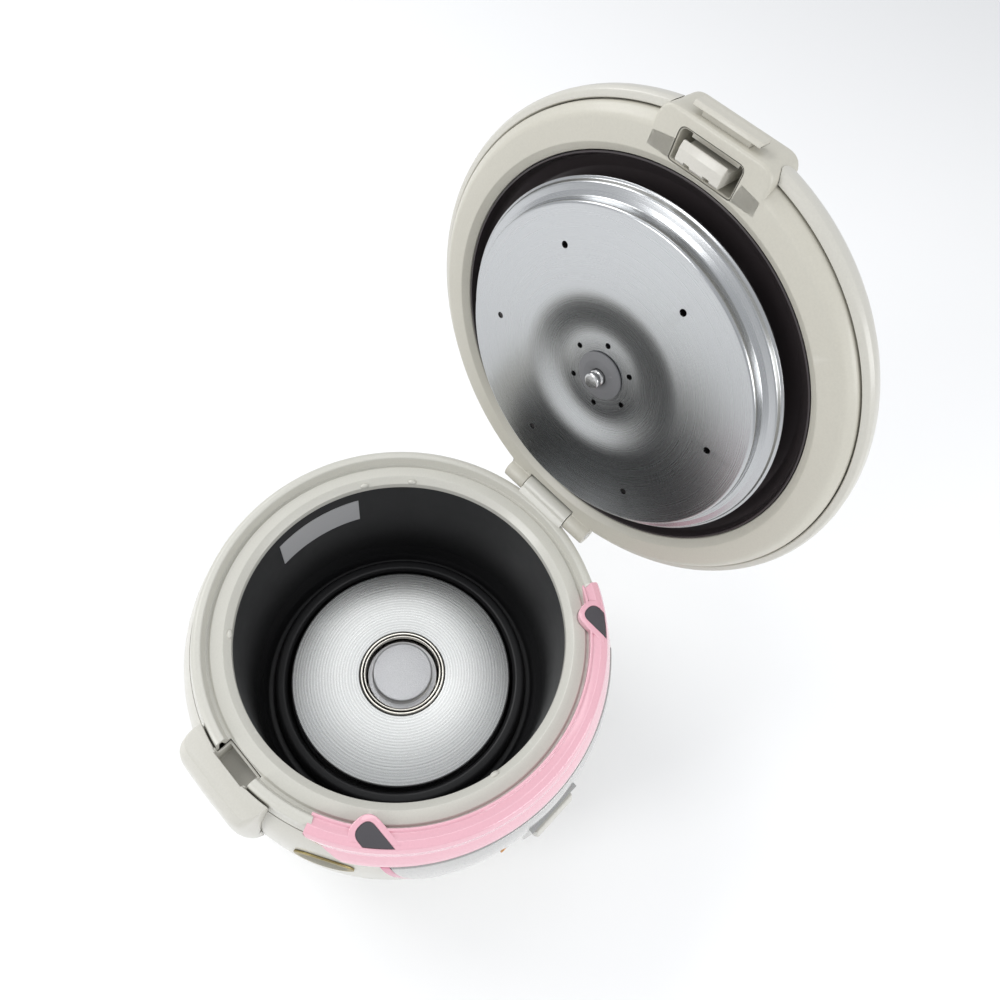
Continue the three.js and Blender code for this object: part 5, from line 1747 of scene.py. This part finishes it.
rubber = plastic("grommet_rubber", (0.16, 0.16, 0.165), (0.13, 0.13, 0.135), 0.55, 800, 0.3, 0.2)
grommet = turned(
    "inner_lid_grommet_moulded",
    [
        (5.1, DISH_FLAT - 2.4, 0.5),
        (10.2, DISH_FLAT - 2.4, 1.4),
        (14.7, DISH_FLAT - 1.5, 0.6),
        (14.7, DISH_FLAT - GAP, 0.3),
        (7.7, DISH_FLAT - GAP, 0.2),
        (7.7, DISH_FLAT + SHEET + GAP, 0.2),
        (12, DISH_FLAT + SHEET + GAP, 0.4),
        (11, DISH_FLAT + SHEET + 2.6, 0.6),
        (5.1, DISH_FLAT + SHEET + 2.6, 0.5),
    ],
    sides=96,
)
fitted(opened(grommet), "inner_lid", ["inner_lid_grommet"], rubber)

# ---- Lid pin ----
# A turned steel stud with a rounded tip, riveted through the liner. The inner lid's grommet
# snaps onto it.

pin_steel = metal(
    "pin_turned_steel", (0.66, 0.66, 0.66), 0.0005, 0.3, 0.2, 0.16, 0.3, centre=lid_centre, turn=OPEN_ANGLE
)
pin_tip = LIP - 8.3
lid_pin = turned(
    "lid_pin_turned",
    [
        (0, pin_tip),
        (4.8, pin_tip, 1.8),
        (4.8, pin_tip + 2.6, 0.3),
        (4.0, pin_tip + 3.1, 0.3),
        (4.0, pin_tip + 4.2, 0.3),
        (4.8, pin_tip + 4.7, 0.3),
        (4.8, DISH_UNDER - 2.3, 0.3),
        (9, DISH_UNDER - 2.3, 0.4),
        (9, DISH_UNDER - GAP, 0.2),
        (4.8, DISH_UNDER - GAP, 0.2),
        (4.8, DISH_UNDER + 2, 0.2),
        (8, DISH_UNDER + 2, 0.3),
        (8, DISH_UNDER + 6, 0.8),
        (0, DISH_UNDER + 6),
    ],
    sides=72,
)
fitted(opened(lid_pin), "lid", ["lid_pin"], pin_steel)

# ---- Catch and release button ----
# The catch is an ivory bar with a hooked nose and two core holes, sprung on its pin in the
# housing's pocket. The button in front of it pushes it off the keeper.

NOSE = LIP + 3
catch = pulled(
    "latch_catch_moulded",
    [
        (-124, NOSE + 1.8, 0.6),
        (-125.6, NOSE, 0.7),
        (-131, NOSE, 1),
        (-134, NOSE + 1.4, 0.6),
        (-134, NOSE + 2.6, 0.5),
        (-130.6, NOSE + 3.4, 0.4),
        (-130.6, CATCH_Z - 2, 1),
        (-124, CATCH_Z - 2, 1),
    ],
    -12,
    12,
    "Y",
)
catch = edged(catch, 0.5, 3, 60)
catch = shaped(catch, round_bar("catch_eye", 3.4, CATCH_X, CATCH_Z, -12, 12, 40), "UNION")
catch = shaped(catch, round_bar("catch_bore", 1.8, CATCH_X, CATCH_Z, -20, 20, 24))
for y in (-5.5, 5.5):
    catch = shaped(catch, box("core_hole", (-126.4, -119), (y - 1.8, y + 1.8), (NOSE - 1, NOSE + 4)))
catch_ivory = plastic("catch_ivory", (0.62, 0.60, 0.55), (0.58, 0.56, 0.5), 0.3, 1200, 0.08, 0.2, 0.2)
fitted(opened(catch), "catch", ["latch_catch"], catch_ivory)

button_low, button_high = -LATCH_REACH - 5, -LATCH_REACH - 2.6
button = pulled(
    "release_button_moulded",
    [
        (button_high, BUTTON_Z - 4.5, 0.5),
        (button_high, BUTTON_Z + 4.5, 0.5),
        (button_low, BUTTON_Z + 3.5, 1.2),
        (button_low + 0.6, BUTTON_Z),
        (button_low, BUTTON_Z - 3.5, 1.2),
    ],
    -BUTTON_HALF,
    BUTTON_HALF,
    "Y",
)
button = edged(button, 0.6, 3, 60)
stem_along = (button_high - 0.4, -132.3)
stem = box("button_stem", stem_along, (-STEM_HALF, STEM_HALF), (BUTTON_Z - 2.5, BUTTON_Z + 2.5))
button = shaped(button, stem, "UNION")
button_satin = plastic("button_satin", (0.57, 0.55, 0.485), (0.54, 0.52, 0.455), 0.36, 1400, 0.12, 0.3, 0.1)
fitted(opened(button), "button", ["release_button"], button_satin)

# ---- Steam vent cap ----
# A charcoal cap with three slots that lifts out of the dome for washing.

cap_low = dome_height(VENT_X - 17) + 0.6
vent = turned(
    "steam_vent_cap_moulded",
    [
        (0, cap_low - 9),
        (8.7, cap_low - 9, 0.6),
        (8.7, cap_low, 0.4),
        (17, cap_low, 0.6),
        (17, cap_low + 3.4, 1.8),
        (14.6, cap_low + 5.9, 1.2),
        (11, cap_low + 5.4, 1.2),
        (0, cap_low + 5.0),
    ],
    sides=96,
)
for dx in (-5, 0, 5):
    vent = shaped(vent, box("steam_slot", (dx - 1.2, dx + 1.2), (-5, 5), (cap_low - 20, cap_low + 12)))
vent.data.transform(Matrix.Translation((VENT_X * MM, 0, 0)))
fitted(opened(vent), "vent_cap", ["steam_vent_cap"], charcoal)

# ---- Pieces kept as drawn ----
# Pins, screws, brackets, wiring and the mains inlet keep their drawn shapes and take the
# finish of the real ones: turned and plated steel, black and ceramic mouldings, wire sleeves.

steel = metal("drawn_steel", (0.60, 0.60, 0.61), 0.0007, 0.25, 0.15, 0.2, 0.34)
zinc = metal("zinc_plate", (0.50, 0.51, 0.52), 0.0030, 0.2, 0.12, 0.32, 0.5)
black = plastic("black_satin", (0.018, 0.018, 0.019), (0.026, 0.026, 0.027), 0.4, 1000, 0.2, 0.1)
ferrite = plastic("sintered_ferrite", (0.03, 0.03, 0.032), (0.045, 0.043, 0.043), 0.7, 600, 0.5, 0.2)
ceramic = plastic("glazed_ceramic", (0.72, 0.70, 0.64), (0.66, 0.64, 0.57), 0.35, 500, 0.2, 0.1)
red_sleeve = plastic("red_sleeve", (0.42, 0.035, 0.025), (0.34, 0.028, 0.02), 0.5, 900, 0.15, 0.1)
blue_sleeve = plastic("blue_sleeve", (0.03, 0.075, 0.32), (0.025, 0.06, 0.26), 0.5, 900, 0.15, 0.1)
kept = {
    steel: [
        "heating_tube",
        "lever_pin",
        "arm_pin",
        "inlet_pin_live",
        "inlet_pin_neutral",
        "hinge_pin",
        "hinge_spring",
        "catch_pin",
    ],
    zinc: [
        *[f"base_screw_{k}" for k in (1, 2, 3)],
        "keep_warm_band",
        "lever_bracket",
        "arm_bracket",
        "lifting_arm",
        *[f"liner_screw_{k}" for k in (1, 2, 3)],
    ],
    black: ["inlet_socket", "micro_switch", "steam_duct"],
    ferrite: ["thermostat_ferrite", "thermostat_magnet"],
    ceramic: ["terminal_block", "thermal_fuse"],
    red_sleeve: ["live_wire"],
    blue_sleeve: ["neutral_wire"],
    pearl: ["lever_guide"],
}
for material, names in kept.items():
    for name in names:
        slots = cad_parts[name].data.materials
        slots.clear()
        slots.append(material)
